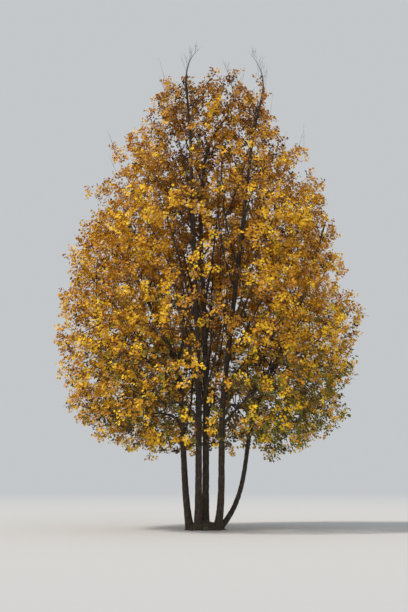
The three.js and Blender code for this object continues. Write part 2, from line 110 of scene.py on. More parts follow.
# The crown, tier by tier from the ground up: its height, how far out it reaches, the size and
# number of its masses, the turn of their ring in degrees, how steeply their stalks rise, how far
# below a mass its bough leaves, and how much that bough arches
TIERS = [
    Sizes(name="skirt", z=3850, outline=4420, size=1500, count=7, turn=25.7, tip_rise=-0.05,
          rise=900, arch=0.24),
    Sizes(name="belly", z=5750, outline=4800, size=1720, count=7, turn=2, tip_rise=0.45,
          rise=1900, arch=0.04),
    Sizes(name="shoulder", z=8000, outline=4000, size=1600, count=6, turn=0, tip_rise=0.85,
          rise=2300, arch=-0.06),
    Sizes(name="neck", z=10150, outline=3100, size=1420, count=5, turn=36, tip_rise=1.05,
          rise=1900, arch=-0.07),
    Sizes(name="head", z=11950, outline=2300, size=1200, count=4, turn=66, tip_rise=1.3,
          rise=1500, arch=-0.07),
]
# Masses on the ends of stems, by tier and place in the ring, and the bare leaders above them
STEM_TOPS = {
    ("shoulder", 3): ("stem_left", None),
    ("shoulder", 0): ("stem_far_right", None),
    ("head", 2): ("stem_mid_left", (-40, -560, TREE_HEIGHT - 60)),
    ("head", 0): ("stem_mid_right", (514, 620, TREE_HEIGHT)),
    ("head", 3): ("stem_right", (1257, -420, TREE_HEIGHT - 110)),
}
RING_JITTER = Sizes(turn=8, z=200, size=0.06)

# Boughs: their girth as a share of their stem's, how deep in its mass one ends, how near its fork
# it may touch its stem, and what a shift of its start costs against a longer way
BOUGH = Sizes(share=0.48, tip_share=0.62, least=30, entry=0.8, lowest=2050, below_top=300,
              fork=4, shortest=3, shift_cost=0.9, steps=3)
BOUGH_SHIFTS = (0, 260, -260, 520, -520, 780, 1040, -780)
BOUGH_LOOKS = 12
LIMB_GAP = 25
# Stalks inside the masses, and the twigs on them, which are shorter in a mass under the full size
FULL_SIZE = 1650
STALK = Sizes(tip_share=0.68, reach=0.9, bend=0.42, end_room=520, steps=3, looks=20,
              length_looks=50)
TWIG = Sizes(count=9, first=0.06, last=0.9, forward=0.5, aim=0.8, jitter=0.5, radius=8.5,
             longest=1500, room=690, least=200)
CELL_GAP = 14
MARCH_STEP = 40
GOLDEN_ANGLE = math.pi * (3 - math.sqrt(5))
# The same twigs as drawn: their girths from the shortest to the longest, and how often and to
# what share one is cut back that stands out of the leaves
DRAWN_TWIG = Sizes(girths=(8, 17), tip=4.5, cuts=6, cut=0.85)

# The crown's outline from the ground up: how far its leaves reach from its axis at each height.
# Bumps as wide as patch swell and shrink it by up to the share uneven, and tufts as wide as tuft
# by up to ragged. A whole share would raise it by lift, and nothing reaches out past most.
OUTLINE = Sizes(
    heights=(2050, 2450, 3200, 4300, 6000, 7700, 9400, 10300, 11700, 12800, 13500),
    radii=(1900, 3200, 3950, 4450, 4500, 4100, 3450, 2900, 2250, 1850, 550),
    uneven=0.2, patch=1150, ragged=0.22, tuft=430, lift=2200, most=4560,
)
# The finer twigs fill the outline from cell to cell: how far past its egg and its planes a cell's
# twigs may reach, how far apart the points stand that they grow to, and how many of those points
# are left out where the crown is shaded.
FILL = Sizes(egg=1.3, overlap=70, spacing=438, on_top=400, jitter=0.45, inside=150, off_limbs=60,
             full_to=1500, thin_from=3400, thinned=0.8)
# The near side is thinner in front of the stems, which show through it: how deep and how wide,
# how sharply it ends at its sides, how much of it is left out, and how much of that at the rim
WINDOW = Sizes(deep=1300, wide=2500, edge=1.5, open=0.92, rim=1500, at_rim=0.55)
# Slender limbs that rise beside the stems: how many leave each stem and between what heights, how
# far they rise, lean out and sweep, how much they turn away from the crown's axis, their girth,
# how many turns are tried for a clear way, and how near its foot one may touch its stem
RISER = Sizes(count=7, lowest=2500, highest=7600, below_top=1500, rise=4200, least_rise=0.7,
              more_rise=0.5, least_lean=0.14, most_lean=0.6, outward=0.6, sweep=0.7, knee=0.38,
              radius=34, girth=0.5, tip_share=0.32, steps=6, gap=12, tries=8, looks=16, fork=600,
              cover=400)
# Where branchlets may leave a limb at first: between what shares of its length, and how many
# places. A stem's top counts as a limb from stem_top below its end.
MARKED = Sizes(stalk=(0.05, 0.95, 12), limb=(0.5, 0.95, 6), riser=(0.3, 0.98, 14),
               twig=(0.2, 1, 6), stem_top=1500)
# Branchlets: how much a sideways one costs, how sharply it may leave its parent, how far it starts
# along its parent before it turns to its point, its longest run, its girth, and at what shares of
# its length it may carry others
BRANCHLET = Sizes(sideways=1.2, sharpest=0.15, forward=0.8, longest=1500, least=90, thick=3.0,
                  thickest=18, tip=1.6, forks=(0.35, 0.6, 0.8, 1))
# How far from upright the twigs grow, low down and at the top of the crown
LEAN = Sizes(heights=(2500, 6000, 13500), turns=(78, 48, 14))
# Twiglets in opposite pairs on the branchlets. What has two values is drawn between them. One
# that is in the way is cut to a share of its length, and so on, a few times.
TWIGLET = Sizes(pairs=2, first=0.3, last=1.0, stagger=0.8, swing=0.25, splay=0.75,
                splays=(0.75, 1.2), lift=0.1, length=270, fall=0.25, lengths=(0.7, 1.2), least=90,
                thick=1.8, girth=0.9, tip=1.0, cuts=3, cut=0.75)
TWIG_OFF_LIMBS = 30  # clear space that a twig's tip keeps to a limb

# Bare twigs on the leaders that stand out of the top
TOP_GAP = 2  # how far under the tree's height they end
LEADER = Sizes(from_share=0.93, girth=0.96, tip=1.6, seed=7)
LEADER_TWIG = Sizes(pairs=7, first=0.22, last=0.97, stagger=0.9, swing=0.3, splay=0.5, lift=0.5,
                    length=560, fall=0.7, lengths=(0.7, 1.1), thick=3.2, tip=1.2, bend=0.2)
LEADER_TWIGLET = Sizes(pairs=2, first=0.3, last=0.95, stagger=0.9, swing=0.3, splay=0.55, lift=0.3,
                       length=150, fall=0.3, lengths=(0.7, 1.1), thick=1.8, tip=1.0, bend=0.1)
# Bare whips that stand up out of the leaves at the top: from what height, how near the top of the
# leaves their foot stands, how many branchlets bear one, and their size
WHIP = Sizes(above=10300, cover=420, share=0.6, length=640, lengths=(0.5, 1.3), spread=0.25,
             bend=0.12, thick=4, tip=1.5, below_top=250, seed=13)

# Leaves: how they sit on a twiglet, and on the ends of the thicker twigs
ON_TWIGLETS = Sizes(first=0.12, last=1.0, splay=0.9)
ON_ENDS = Sizes(pairs=2, first=0.7, last=1.0, splay=0.8)
# How a leaf leaves its shoot and droops, how its blade turns to the light, its size, width and
# fold, how far it may hang out of the space of its twigs, and how far its middle keeps off a limb
LEAF = Sizes(swing=0.3, splays=(0.7, 1.25), scatter=0.18, droop=0.3, outward=0.8, upward=0.8,
             tilt=0.5, sizes=(0.72, 1.15), widths=(0.85, 1.15), folds=(0.2, 1.8), overhang=60,
             middle=0.6, off_limbs=12)
LEAF_OUTLINE = ((0, 0), (0.40, 0.10), (0.56, 0.58), (0.19, 0.63), (0, 1.0))
LEAF_RISE = (0, 0.09, 0.14, 0.03, -0.12)  # the fold along the midrib, and the hanging tip
PETIOLE = Sizes(length=0.5, half_width=0.012)
# How far a spray has turned: less at the rim of the crown, more towards its top, and in patches.
# The rim and inside terms are painted light: a painted glow of light through the leaves at the rim,
# and painted shade in the darker tints inside.
TURNED_AND_LIT = Sizes(start=0.41, outward=-0.38, rim=0.66, upward=0.46, half=0.5, patchy=0.32,
               patch=1300, scatter=0.24)
# Brown and olive sprays inside the crown low down, which are painted shade, and olive ones low on the
# right: between what shares of its radius and height, and how many
PAINTED_SHADE = Sizes(outward=(1.1, 0.55), height=(0.52, 0.22), share=0.6, brown=0.6)
GREEN = Sizes(height=(0.42, 0.2), right=(-0.1, 0.8), share=0.55)

TUBE_LOOKS = 20  # steps in which a limb's length is measured for its rings
# Corners round a limb and the space between its rings. A stem's are finer low down.
STEM_RINGS = Sizes(sides=28, low=30, high=60, fine_to=3200)
FOOT_RINGS = Sizes(sides=20, spacing=40)
SPUR_RINGS = Sizes(sides=14, spacing=40)
BOUGH_RINGS = Sizes(sides=14, spacing=70)
RISER_RINGS = Sizes(sides=8, spacing=110)
# Corners and rings of the shoots of each order, of the whips and of the leaders
SHOOT_RINGS = dict(twigs=(4, 5), branchlets=(3, 3), twiglets=(3, 1))
WHIP_RINGS = ((3, 3), (3, 1))
LEADER_RINGS = ((8, 8), (3, 4), (3, 2))
# Bark: how sharp its ridges are, and the finer relief on them. Boughs and slender limbs have a
# share of a stem's relief, and boughs have all of that share where they are as thick as full_at.
RIDGES = Sizes(sharp=2.6, fine=0.35, finer=2.7)
BOUGH_RELIEF = Sizes(share=0.45, full_at=45)
RISER_RELIEF = 0.2
COLLAR = Sizes(extra=0.4, over=90)  # the swelling at a bough's foot
FLOOR_FADE = (0.06, 0.95)  # from where to where the floor fades, as shares of its radius
# How far a stem's own bark runs down inside the stool's, and how it comes out of it
FOOT = Sizes(overlap=140, girth=0.92, swell=0.08, out_at=30)


def sequence(seed):
    """A plain linear congruential sequence of shares, the same on every run."""
    state = (seed * 2654435761) & 0xFFFFFFFF

    def following():
        nonlocal state
        state = (state * 1664525 + 1013904223) & 0xFFFFFFFF
        return state / 4294967296

    following()
    following()
    return following


def lerp(low, high, share):
    return low + (high - low) * share


class Stem:
    """One stem as the tree was laid out: its centre, direction and girth at any height."""

    def __init__(self, name, foot, kick, kick_over, bends, radius, top, cut):
        self.name, self.foot, self.kick, self.kick_over = name, foot, kick, kick_over
        self.bends, self.thickness, self.top, self.cut = bends, radius, top, cut
        self.end = top

    def point(self, z):
        kick = 1 - math.exp(-z / self.kick_over)
        x = self.foot[0] + self.kick[0] * kick
        y = self.foot[1] + self.kick[1] * kick
        for height, slope_x, slope_y in self.bends:
            climbed = BEND_WIDTH * math.log1p(math.exp((z - height) / BEND_WIDTH))
            x += slope_x * climbed
            y += slope_y * climbed
        return Vector((x, y, z))

    def way(self, z):
        return (self.point(z + 5) - self.point(z - 5)).normalized()

    def radius(self, z):
        left = max(1 - z / (self.top + STEM_TAPER.over), 0)
        girth = STEM_TIP_SHARE + (1 - STEM_TIP_SHARE) * left ** STEM_TAPER.power
        flare = 1 + FLARE.extra * math.exp(-max(z, 0) / FLARE.over)
        return self.thickness * girth * flare


class Stretch:
    """A stretch of a stem between two heights, from share 0 to share 1."""

    def __init__(self, stem, low, high, steps):
        self.stem, self.low, self.high, self.steps = stem, low, high, steps

    def point(self, share):
        return self.stem.point(lerp(self.low, self.high, share))

    def way(self, share):
        return self.stem.way(lerp(self.low, self.high, share))

    def radius(self, share):
        return self.stem.radius(lerp(self.low, self.high, share))


class Arc:
    """A limb on a curve of three points, tapering evenly to a share of its thickness."""

    def __init__(self, start, knee, end, thick, tip_share, steps):
        self.start, self.knee, self.end = start, knee, end
        self.thick, self.tip_share, self.steps = thick, tip_share, steps

    def point(self, share):
        left = 1 - share
        return left * left * self.start + 2 * left * share * self.knee + share * share * self.end

    def way(self, share):
        along = (1 - share) * (self.knee - self.start) + share * (self.end - self.knee)
        return along.normalized()

    def radius(self, share):
        return self.thick * (1 - (1 - self.tip_share) * share)

    def on_axis(self, share):
        """A point in the straight lines between the limb's rings."""
        ring = min(math.floor(share * self.steps), self.steps - 1)
        low = self.point(ring / self.steps)
        return low.lerp(self.point((ring + 1) / self.steps), share * self.steps - ring)


def length_of(curve, looks):
    """How long a curve is, in that many straight steps."""
    marks = [curve.point(i / looks) for i in range(looks + 1)]
    return sum((b - a).length for a, b in zip(marks, marks[1:]))


class LimbMap:
    """Every limb as short straight segments, for measuring how near something comes to them."""

    AT_ONCE = 2000  # points measured together, which keeps the arrays small

    def __init__(self):
        self.names, self.starts, self.ends, self.radii = [], [], [], []

    def add(self, name, limb):
        for i in range(limb.steps):
            low, high = i / limb.steps, (i + 1) / limb.steps
            self.names.append(name)
            self.starts.append(limb.point(low))
            self.ends.append(limb.point(high))
            self.radii.append(max(limb.radius(low), limb.radius(high)))

    def space(self, points, ignored=None):
        """Clear space between each point and the nearest limb that isn't the one ignored."""
        keep = [i for i, name in enumerate(self.names) if name != ignored]
        start = np.array([self.starts[i] for i in keep])
        along = np.array([self.ends[i] for i in keep]) - start
        radius = np.array([self.radii[i] for i in keep])
        least = np.empty(len(points))
        for first in range(0, len(points), self.AT_ONCE):
            some = points[first:first + self.AT_ONCE]
            out = some[:, None] - start
            share = np.clip((out * along).sum(-1) / (along * along).sum(-1), 0, 1)
            gap = np.linalg.norm(out - share[..., None] * along, axis=-1) - radius
            least[first:first + self.AT_ONCE] = gap.min(1)
        return least

    def space_leaving(self, points, root, fork, own):
        """The same for points on a limb, whose own parent counts only from its fork on."""
        beside = np.linalg.norm(points - np.array(root), axis=1) < fork
        return np.where(beside, self.space(points, own), self.space(points))


class Cell:
    """The space of one mass of foliage: an egg, parted from its neighbours by planes."""

    def __init__(self, number, tier, place):
        following = sequence(SEED + 101 * number)

        def spread(most):
            return (following() - 0.5) * 2 * most

        turn = math.radians(tier.turn + 360 * place / tier.count + spread(RING_JITTER.turn))
        self.tier, self.place, self.number = tier, place, number
        self.name = f"{tier.name}_leaves_{place + 1}"
        self.outward = Vector((math.cos(turn), math.sin(turn), 0))
        z = tier.z + spread(RING_JITTER.z)
        self.size = tier.size * (1 + spread(RING_JITTER.size))
        self.centre = Vector((*CROWN_AXIS, z)) + self.outward * (tier.outline - self.size)
        self.seed = SEED + 977 * (number + 1)
        self.scale = self.size / FULL_SIZE
        self.stem, self.leader = STEM_TOPS.get((tier.name, place), (None, None))
        self.bough = None
        self.stalk = None


class Crown:
    """The stems, the cells, and the boughs, stalks and twigs that grow through them."""

    def __init__(self):
        self.stems = [Stem(**row) for row in STEMS]
        self.cells = []
        for tier in TIERS:
            for place in range(tier.count):
                self.cells.append(Cell(len(self.cells), tier, place))
        self.centres = np.array([cell.centre for cell in self.cells])
        self.sizes = np.array([cell.size for cell in self.cells])
        self.squash = np.array((1, 1, 1 / CELL_TALL))
        by_name = {stem.name: stem for stem in self.stems}
        for cell in self.cells:
            if cell.stem:
                cell.stem = by_name[cell.stem]
                cell.stem.end = cell.centre.z - cell.size * CELL_TALL * BOUGH.entry
        self.limbs = LimbMap()
        for stem in self.stems:
            start = stem.cut + CLEARANCE
            self.limbs.add(stem.name, Stretch(stem, 0, start, STEM_TAPER.foot_steps))
            self.limbs.add(stem.name, Stretch(stem, start, stem.end, STEM_TAPER.steps))
        for cell in self.cells:
            if not cell.stem:
                cell.bough = self.clear_bough(cell)
                self.limbs.add(cell.name.replace("leaves", "bough"), cell.bough)
        for cell in self.cells:
            cell.stalk = self.stalk(cell)
            self.limbs.add(cell.name, cell.stalk)
        self.risers = []

    def depth_beside(self, cell, points):
        """How far each point is from the planes that part the cell from its neighbours."""
        apart = (points[:, None] - self.centres) * self.squash
        power = (apart * apart).sum(-1) - self.sizes ** 2
        between = np.linalg.norm((self.centres - self.centres[cell.number]) * self.squash, axis=1)
        between[cell.number] = 1
        depth = (power - power[:, cell.number, None]) / (2 * between)
        depth[:, cell.number] = np.inf
        return depth.min(1)

    def depth(self, cell, points):
        """How far inside its cell each point lies."""
        out = np.linalg.norm((points - self.centres[cell.number]) * self.squash, axis=1)
        return np.minimum(cell.size - out, self.depth_beside(cell, points))

    def outline_depth(self, points, uneven=0):
        """How far each point lies inside the crown's outline, which may be given its bumps."""
        height = points[:, 2] - OUTLINE.lift * uneven
        radius = np.interp(height, OUTLINE.heights, OUTLINE.radii, -OUTLINE.most)
        radius = np.minimum(radius * (1 + uneven), OUTLINE.most)
        return radius - np.linalg.norm(points[:, :2] - CROWN_AXIS, axis=1)

    def room(self, cell, points, uneven=0):
        """How far each point lies inside the space that a cell's finer twigs may fill."""
        out = np.linalg.norm((points - self.centres[cell.number]) * self.squash, axis=1)
        beside = self.depth_beside(cell, points) + FILL.overlap
        inside = np.minimum(self.outline_depth(points, uneven), beside)
        return np.minimum(inside, cell.size * FILL.egg - out)

    def clear_bough(self, cell):
        """A bough from a stem to the near side of its cell that clears every other limb."""
        tries = []
        for shift in BOUGH_SHIFTS:
            for stem in self.stems:
                z = max(cell.centre.z - cell.tier.rise + shift, BOUGH.lowest)
                if z > stem.end - BOUGH.below_top:
                    continue
                root = stem.point(z)
                across = (cell.centre - root).xy.length
                tries.append((across + abs(shift) * BOUGH.shift_cost, len(tries), stem, z, root))
        shares = [i / BOUGH_LOOKS for i in range(BOUGH_LOOKS + 1)]
        for _, _, stem, z, root in sorted(tries):
            entry = cell.centre + (root - cell.centre).normalized() * cell.size * BOUGH.entry
            run = (entry - root).length
            knee = root.lerp(entry, 0.5) + UP * run * cell.tier.arch
            girth = stem.radius(z)
            thick = max(girth * BOUGH.share, BOUGH.least)
            bough = Arc(root, knee, entry, thick, BOUGH.tip_share, BOUGH.steps)
            points = np.array([bough.point(share) for share in shares])
            fork = BOUGH.fork * (girth + thick)
            space = self.limbs.space_leaving(points, root, fork, stem.name)
            needed = np.array([bough.radius(share) + LIMB_GAP for share in shares])
            if run > girth * BOUGH.shortest and (space > needed).all():
                bough.stem = stem
                return bough
        raise RuntimeError("no clear way to " + cell.name)

    def add_risers(self):
        """The slender limbs beside the stems, each turned from the last by the golden angle."""
        following = sequence(SEED + 3)
        for stem in self.stems:
            highest = min(RISER.highest, stem.end - RISER.below_top)
            for i in range(RISER.count):
                z = lerp(RISER.lowest, highest, (i + following()) / RISER.count)
                rise = RISER.rise * (RISER.least_rise + RISER.more_rise * following())
                lean = rise * lerp(RISER.least_lean, RISER.most_lean, following() ** 2)
                for attempt in range(RISER.tries):
                    turn = (len(self.risers) + attempt) * GOLDEN_ANGLE
                    riser = self.riser(stem, z, rise, lean, turn)
                    if self.is_clear(riser, stem):
                        self.risers.append(riser)
                        self.limbs.add("riser", riser)
                        break

    def riser(self, stem, z, rise, lean, turn):
        """One slender limb from a height on its stem."""
        start = stem.point(z)
        away = (start.xy - Vector(CROWN_AXIS)).to_3d().normalized()
        out = Vector((math.cos(turn), math.sin(turn), 0))
        out = (out + RISER.outward * away).normalized()
        end = stem.point(z + rise) + out * lean
        knee = start + out * lean * RISER.sweep + UP * rise * RISER.knee
        thick = min(RISER.radius, RISER.girth * stem.radius(z))
        return Arc(start, knee, end, thick, RISER.tip_share, RISER.steps)

    def is_clear(self, riser, stem):
        """Whether a riser keeps clear of every other limb and inside the crown's outline."""
        shares = [(i + 0.5) / RISER.looks for i in range(RISER.looks)]
        points = np.array([riser.point(share) for share in shares])
        space = self.limbs.space_leaving(points, riser.start, RISER.fork, stem.name)
        inside = self.outline_depth(points[-1:])[0] > RISER.cover
        return inside and (space > riser.thick + RISER.gap).all()

    def stalk(self, cell):
        """The stalk inside a cell, from where its limb enters to its far, upper side."""
        if cell.bough:
            start, way, thick = cell.bough.end, cell.bough.way(1), cell.bough.radius(1)
        else:
            stem = cell.stem
            start, way, thick = stem.point(stem.end), stem.way(stem.end), stem.radius(stem.end)
        start = start + way * CLEARANCE
        rise = math.atan(cell.tier.tip_rise)
        reach = cell.size * STALK.reach
        tip = cell.centre + cell.outward * math.cos(rise) * reach
        tip.z += math.sin(rise) * reach * CELL_TALL
        tip = tip.lerp(start, STALK.end_room / (tip - start).length)
        knee = start + way * (tip - start).length * STALK.bend
        return Arc(start, knee, tip, thick, STALK.tip_share, STALK.steps)

    def twig_root(self, cell, target):
        """The share of the stalk from which a twig can lean forward to a point beside it."""
        looks = [i / STALK.looks for i in range(STALK.looks + 1)]
        apart = [(cell.stalk.on_axis(share) - target).length for share in looks]
        nearest = apart.index(min(apart))
        back = apart[nearest] * TWIG.forward / length_of(cell.stalk, STALK.length_looks)
        return min(max(looks[nearest] - back, TWIG.first), TWIG.last)

    def twigs(self, cell):
        """Twigs from the stalk towards points spread round the cell by the golden angle."""
        following = sequence(cell.seed)
        first_turn = following() * 2 * math.pi
        room = TWIG.room * cell.scale
        steps = math.ceil((TWIG.longest + room) / MARCH_STEP)
        made = []
        for i in range(TWIG.count):
            height = 1 - (2 * i + 1) / TWIG.count
            turn = first_turn + i * GOLDEN_ANGLE + (following() - 0.5) * TWIG.jitter
            ring = math.sqrt(1 - height * height)
            spread = Vector((ring * math.cos(turn), ring * math.sin(turn), height * CELL_TALL))
            target = cell.centre + spread * cell.size * TWIG.aim
            root = cell.stalk.on_axis(self.twig_root(cell, target))
            way = (target - root).normalized()
            following()  # the solids' rule draws the turn of a twig's leaves here
            marks = np.arange(1, steps + 1)[:, None] * MARCH_STEP
            points = np.array(root) + marks * np.array(way)
            inside = self.depth(cell, points) >= CELL_GAP + TWIG.radius
            inside &= self.limbs.space(points, cell.name) >= 2 * TWIG.radius
            reach = MARCH_STEP * (steps if inside.all() else int(np.argmin(inside)))
            if reach - room >= TWIG.least * cell.scale:
                made.append((root, way, reach))
        return made


class Rows:
    """Many things of one kind, as arrays that each have a row for each thing."""

    PARTS = ()

    def __len__(self):
        return len(getattr(self, self.PARTS[0]))

    def kept(self, which):
        return type(self)(*(getattr(self, part)[which] for part in self.PARTS))

    @classmethod
    def joined(cls, many):
        return cls(*(np.concatenate([getattr(some, part) for some in many]) for part in cls.PARTS))


class Shoots(Rows):
    """Twigs of one order: start, way, length, bend, and girth at both ends."""

    PARTS = ("start", "way", "length", "bend", "thick", "tip")

    def __init__(self, start, way, length, bend, thick, tip):
        self.start, self.way, self.length, self.bend = start, way, length, bend
        self.thick = np.broadcast_to(thick, length.shape)
        self.tip = np.broadcast_to(tip, length.shape)

    def at(self, share):
        run = (share * self.length)[:, None]
        return self.start + self.way * run + self.bend * run * share[:, None]

    def tips(self):
        return self.at(np.ones(len(self)))

    def way_at(self, share):
        return unit(self.way + 2 * self.bend * share[:, None])

    def girth_at(self, share):
        return lerp(self.thick, self.tip, share)


def unit(vectors):
    return vectors / np.linalg.norm(vectors, axis=-1, keepdims=True)


def sides_of(way):
    """Two directions square to each way and to each other."""
    level = unit(np.cross(way, (0.013, 0.021, 1.0)))
    return level, np.cross(way, level)


def splayed(along, turn, splay):
    """Ways that lean away from each direction by the splay, turned about it by the turn."""
    level, other = sides_of(along)
    turn, splay = turn[:, None], splay[:, None]
    across = level * np.cos(turn) + other * np.sin(turn)
    return along * np.cos(splay) + across * np.sin(splay)


def lifted(way, lift):
    return unit(way + np.array((0, 0, lift)))


def pairs_on(shoots, pairs):
    """The number of each pair on its shoot, and the shoots, each as often as it has pairs."""
    rank = np.tile(np.arange(pairs), len(shoots))
    return rank, shoots.kept(np.repeat(np.arange(len(shoots)), pairs))


def staggered(rule, rank, rng):
    """The share of its parent from which each pair leaves."""
    place = rank + rng.uniform(0, rule.stagger, len(rank))
    return lerp(rule.first, rule.last, place / rule.pairs)


def square_turns(rank, pairs, swing, rng):
    """The turn of each pair: square to the pair before it, more or less."""
    phase = np.repeat(rng.uniform(0, math.pi, len(rank) // pairs), pairs)
    return phase + rank * math.pi / 2 + rng.normal(0, swing, len(rank))


def side_lengths(rule, share, rng):
    """Lengths of side shoots, which fall towards the tip of their parent."""
    return rule.length * (1 - rule.fall * share) * rng.uniform(*rule.lengths, len(share))


def from_axis(points):
    """How far each point stands from the crown's axis, on the level."""
    out = points - np.array((*CROWN_AXIS, 0))
    out[:, 2] = 0
    return out


def bumps(points):
    """How far the crown's outline swells or shrinks beside each point, as a share."""
    radii = np.interp(points[:, 2], OUTLINE.heights, OUTLINE.radii)
    rim = unit(from_axis(points)) * radii[:, None]
    rim[:, 2] = points[:, 2]
    coarse = [noise.noise(Vector(place) / OUTLINE.patch) for place in rim]
    fine = [noise.noise(Vector(place) / OUTLINE.tuft) for place in rim]
    return OUTLINE.uneven * np.array(coarse) + OUTLINE.ragged * np.array(fine)


def growth_way(points):
    """The way in which twigs grow at each point: outwards low down, and almost upright on top."""
    turn = np.radians(np.interp(points[:, 2], LEAN.heights, LEAN.turns))[:, None]
    return unit(from_axis(points)) * np.sin(turn) + np.array((0, 0, 1)) * np.cos(turn)


def points_to_fill(crown, cell, rng):
    """Points spread evenly through a cell's space, fewer where the crown shades them."""
    half = cell.size * FILL.egg
    height = (cell.centre.z - TIERS[0].z) / (TIERS[-1].z - TIERS[0].z)
    spacing = lerp(FILL.spacing, FILL.on_top, height)
    ticks = [np.arange(-top, top, spacing) for top in (half, half, half * CELL_TALL)]
    points = np.stack(np.meshgrid(*ticks), -1).reshape(-1, 3) + np.array(cell.centre)
    points += rng.uniform(-1, 1, points.shape) * FILL.jitter * spacing
    x, y, _ = from_axis(points).T
    depth = crown.outline_depth(points)
    kept = np.interp(depth, (FILL.full_to, FILL.thin_from), (1, FILL.thinned))
    kept = np.where(y > 0, 1, kept)
    middle = np.clip(WINDOW.edge - WINDOW.edge * np.abs(x) / WINDOW.wide, 0, 1)
    near = np.clip(-y / WINDOW.deep, 0, 1) * middle
    rim = np.interp(depth, (0, WINDOW.rim), (WINDOW.at_rim, 1))
    kept *= 1 - WINDOW.open * near * rim
    points = points[rng.random(len(points)) < kept]
    inside = crown.room(cell, points, bumps(points)) > FILL.inside
    inside &= crown.limbs.space(points) > FILL.off_limbs
    return points[inside]


class Marks:
    """Places along twigs from which a branchlet may leave: point, direction, and whose twig."""

    def __init__(self):
        self.points, self.ways, self.owners, self.shares = [], [], [], []

    def add(self, owner, shares, points, ways):
        self.owners += [owner] * len(shares)
        self.shares += list(shares)
        self.points += [np.array(point) for point in points]
        self.ways += [np.array(way) for way in ways]

    def add_limb(self, point, way, shares):
        shares = shares.tolist()
        self.add(None, shares, [point(share) for share in shares], [way(share) for share in shares])

    def costs(self, targets, lean, first=0):
        """What it costs to grow to each target from each mark, and infinity where it can't."""
        out = targets[:, None] - np.array(self.points[first:])
        length = np.linalg.norm(out, axis=-1)
        out = out / np.maximum(length, 1)[..., None]
        cost = length * (1 + BRANCHLET.sideways * (1 - (out * lean[:, None]).sum(-1)))
        forward = (out * np.array(self.ways[first:])).sum(-1)
        possible = (forward > BRANCHLET.sharpest) & (length > BRANCHLET.least)
        return np.where(possible & (length < BRANCHLET.longest), cost, np.inf)


def first_marks(crown, cell):
    """Marks on a cell's stalk, on the near end of its limb, on risers in it, and on its twigs."""
    marks = Marks()
    marks.add_limb(cell.stalk.on_axis, cell.stalk.way, np.linspace(*MARKED.stalk))
    limb = cell.bough or Stretch(cell.stem, cell.stem.end - MARKED.stem_top, cell.stem.end, 3)
    marks.add_limb(limb.point, limb.way, np.linspace(*MARKED.limb))
    for riser in crown.risers:
        shares = np.linspace(*MARKED.riser)
        inside = crown.room(cell, np.array([riser.point(t) for t in shares.tolist()])) > 0
        marks.add_limb(riser.point, riser.way, shares[inside])
    shares = np.linspace(*MARKED.twig)
    for i in range(len(cell.twigs)):
        twig = cell.twigs.kept(np.full(len(shares), i))
        marks.add(None, shares, twig.at(shares), twig.way_at(shares))
    return marks


def branchlets(crown, cell, targets):
    """Branchlets to a cell's points, the nearest first. Each sweeps forward out of what stands
    below it, may carry others in turn, and is as thick as what it carries asks for."""
    marks, lean = first_marks(crown, cell), growth_way(targets)
    costs = marks.costs(targets, lean)
    cost, root = costs.min(1), costs.argmin(1)
    shares = np.array(BRANCHLET.forks)
    made, owners = [], []
    while np.isfinite(cost).any():
        pick = int(cost.argmin())
        cost[pick] = np.inf
        left = np.isfinite(cost)
        mark = root[pick]
        start, out = marks.points[mark], targets[pick] - marks.points[mark]
        length = np.linalg.norm(out)
        way = unit(out / length + BRANCHLET.forward * marks.ways[mark])
        bend = out / length - way
        one = Shoots(*(np.array([v]) for v in (start, way, length, bend)), 1, 1)
        if crown.limbs.space(one.at(np.array([0.5])), cell.name)[0] < TWIG_OFF_LIMBS:
            continue
        owners.append((marks.owners[mark], marks.shares[mark]))
        made.append(one)
        first = len(marks.points)
        several = one.kept(np.zeros(len(shares), int))
        marks.add(len(owners) - 1, shares, several.at(shares), several.way_at(shares))
        new = marks.costs(targets, lean, first)
        better = left & (new.min(1) < cost)
        root = np.where(better, new.argmin(1) + first, root)
        cost = np.where(better, new.min(1), cost)
    shoots = Shoots.joined(made)
    thicken(shoots, owners)
    return shoots


def thicken(shoots, owners):
    """Gives branchlets the girth that what they carry asks for. owners has for each of them the
    number of the branchlet that carries it, if any, and the share of it."""
    carried = np.ones(len(owners))
    for i in reversed(range(len(owners))):
        if owners[i][0] is not None:
            carried[owners[i][0]] += carried[i]
    shoots.thick = np.minimum(BRANCHLET.thick * np.sqrt(carried), BRANCHLET.thickest)
    shoots.tip = np.full(len(owners), BRANCHLET.tip)
    for i, (owner, share) in enumerate(owners):
        if owner is not None and share == 1:
            shoots.tip[owner] = max(shoots.tip[owner], shoots.thick[i])


def side_shoots(crown, cell, parents, rule, rng):
    """Pairs of opposite shoots along each parent, each pair turned square to the last. A shoot
    that would leave its space or meet a limb is made shorter, and then left out."""
    rank, owner = pairs_on(parents, rule.pairs)
    share = staggered(rule, rank, rng)
    azimuth = square_turns(rank, rule.pairs, rule.swing, rng)
    root, along = owner.at(share), owner.way_at(share)
    made = []
    for half_turn in (0, math.pi):
        splay = rule.splay * rng.uniform(*rule.splays, len(rank))
        way = lifted(splayed(along, azimuth + half_turn, splay), rule.lift)
        length = side_lengths(rule, share, rng)
        thick = np.minimum(owner.girth_at(share) * rule.girth, rule.thick)
        some = Shoots(root, way, length, np.zeros_like(way), thick, rule.tip)
        for _ in range(rule.cuts):
            tips = some.tips()
            clear = crown.room(cell, tips, bumps(tips)) > 0
            clear &= crown.limbs.space(tips) > TWIG_OFF_LIMBS
            made.append(some.kept(clear & (some.length > rule.least)))
            some = some.kept(~clear)
            some.length = some.length * rule.cut
    return Shoots.joined(made)


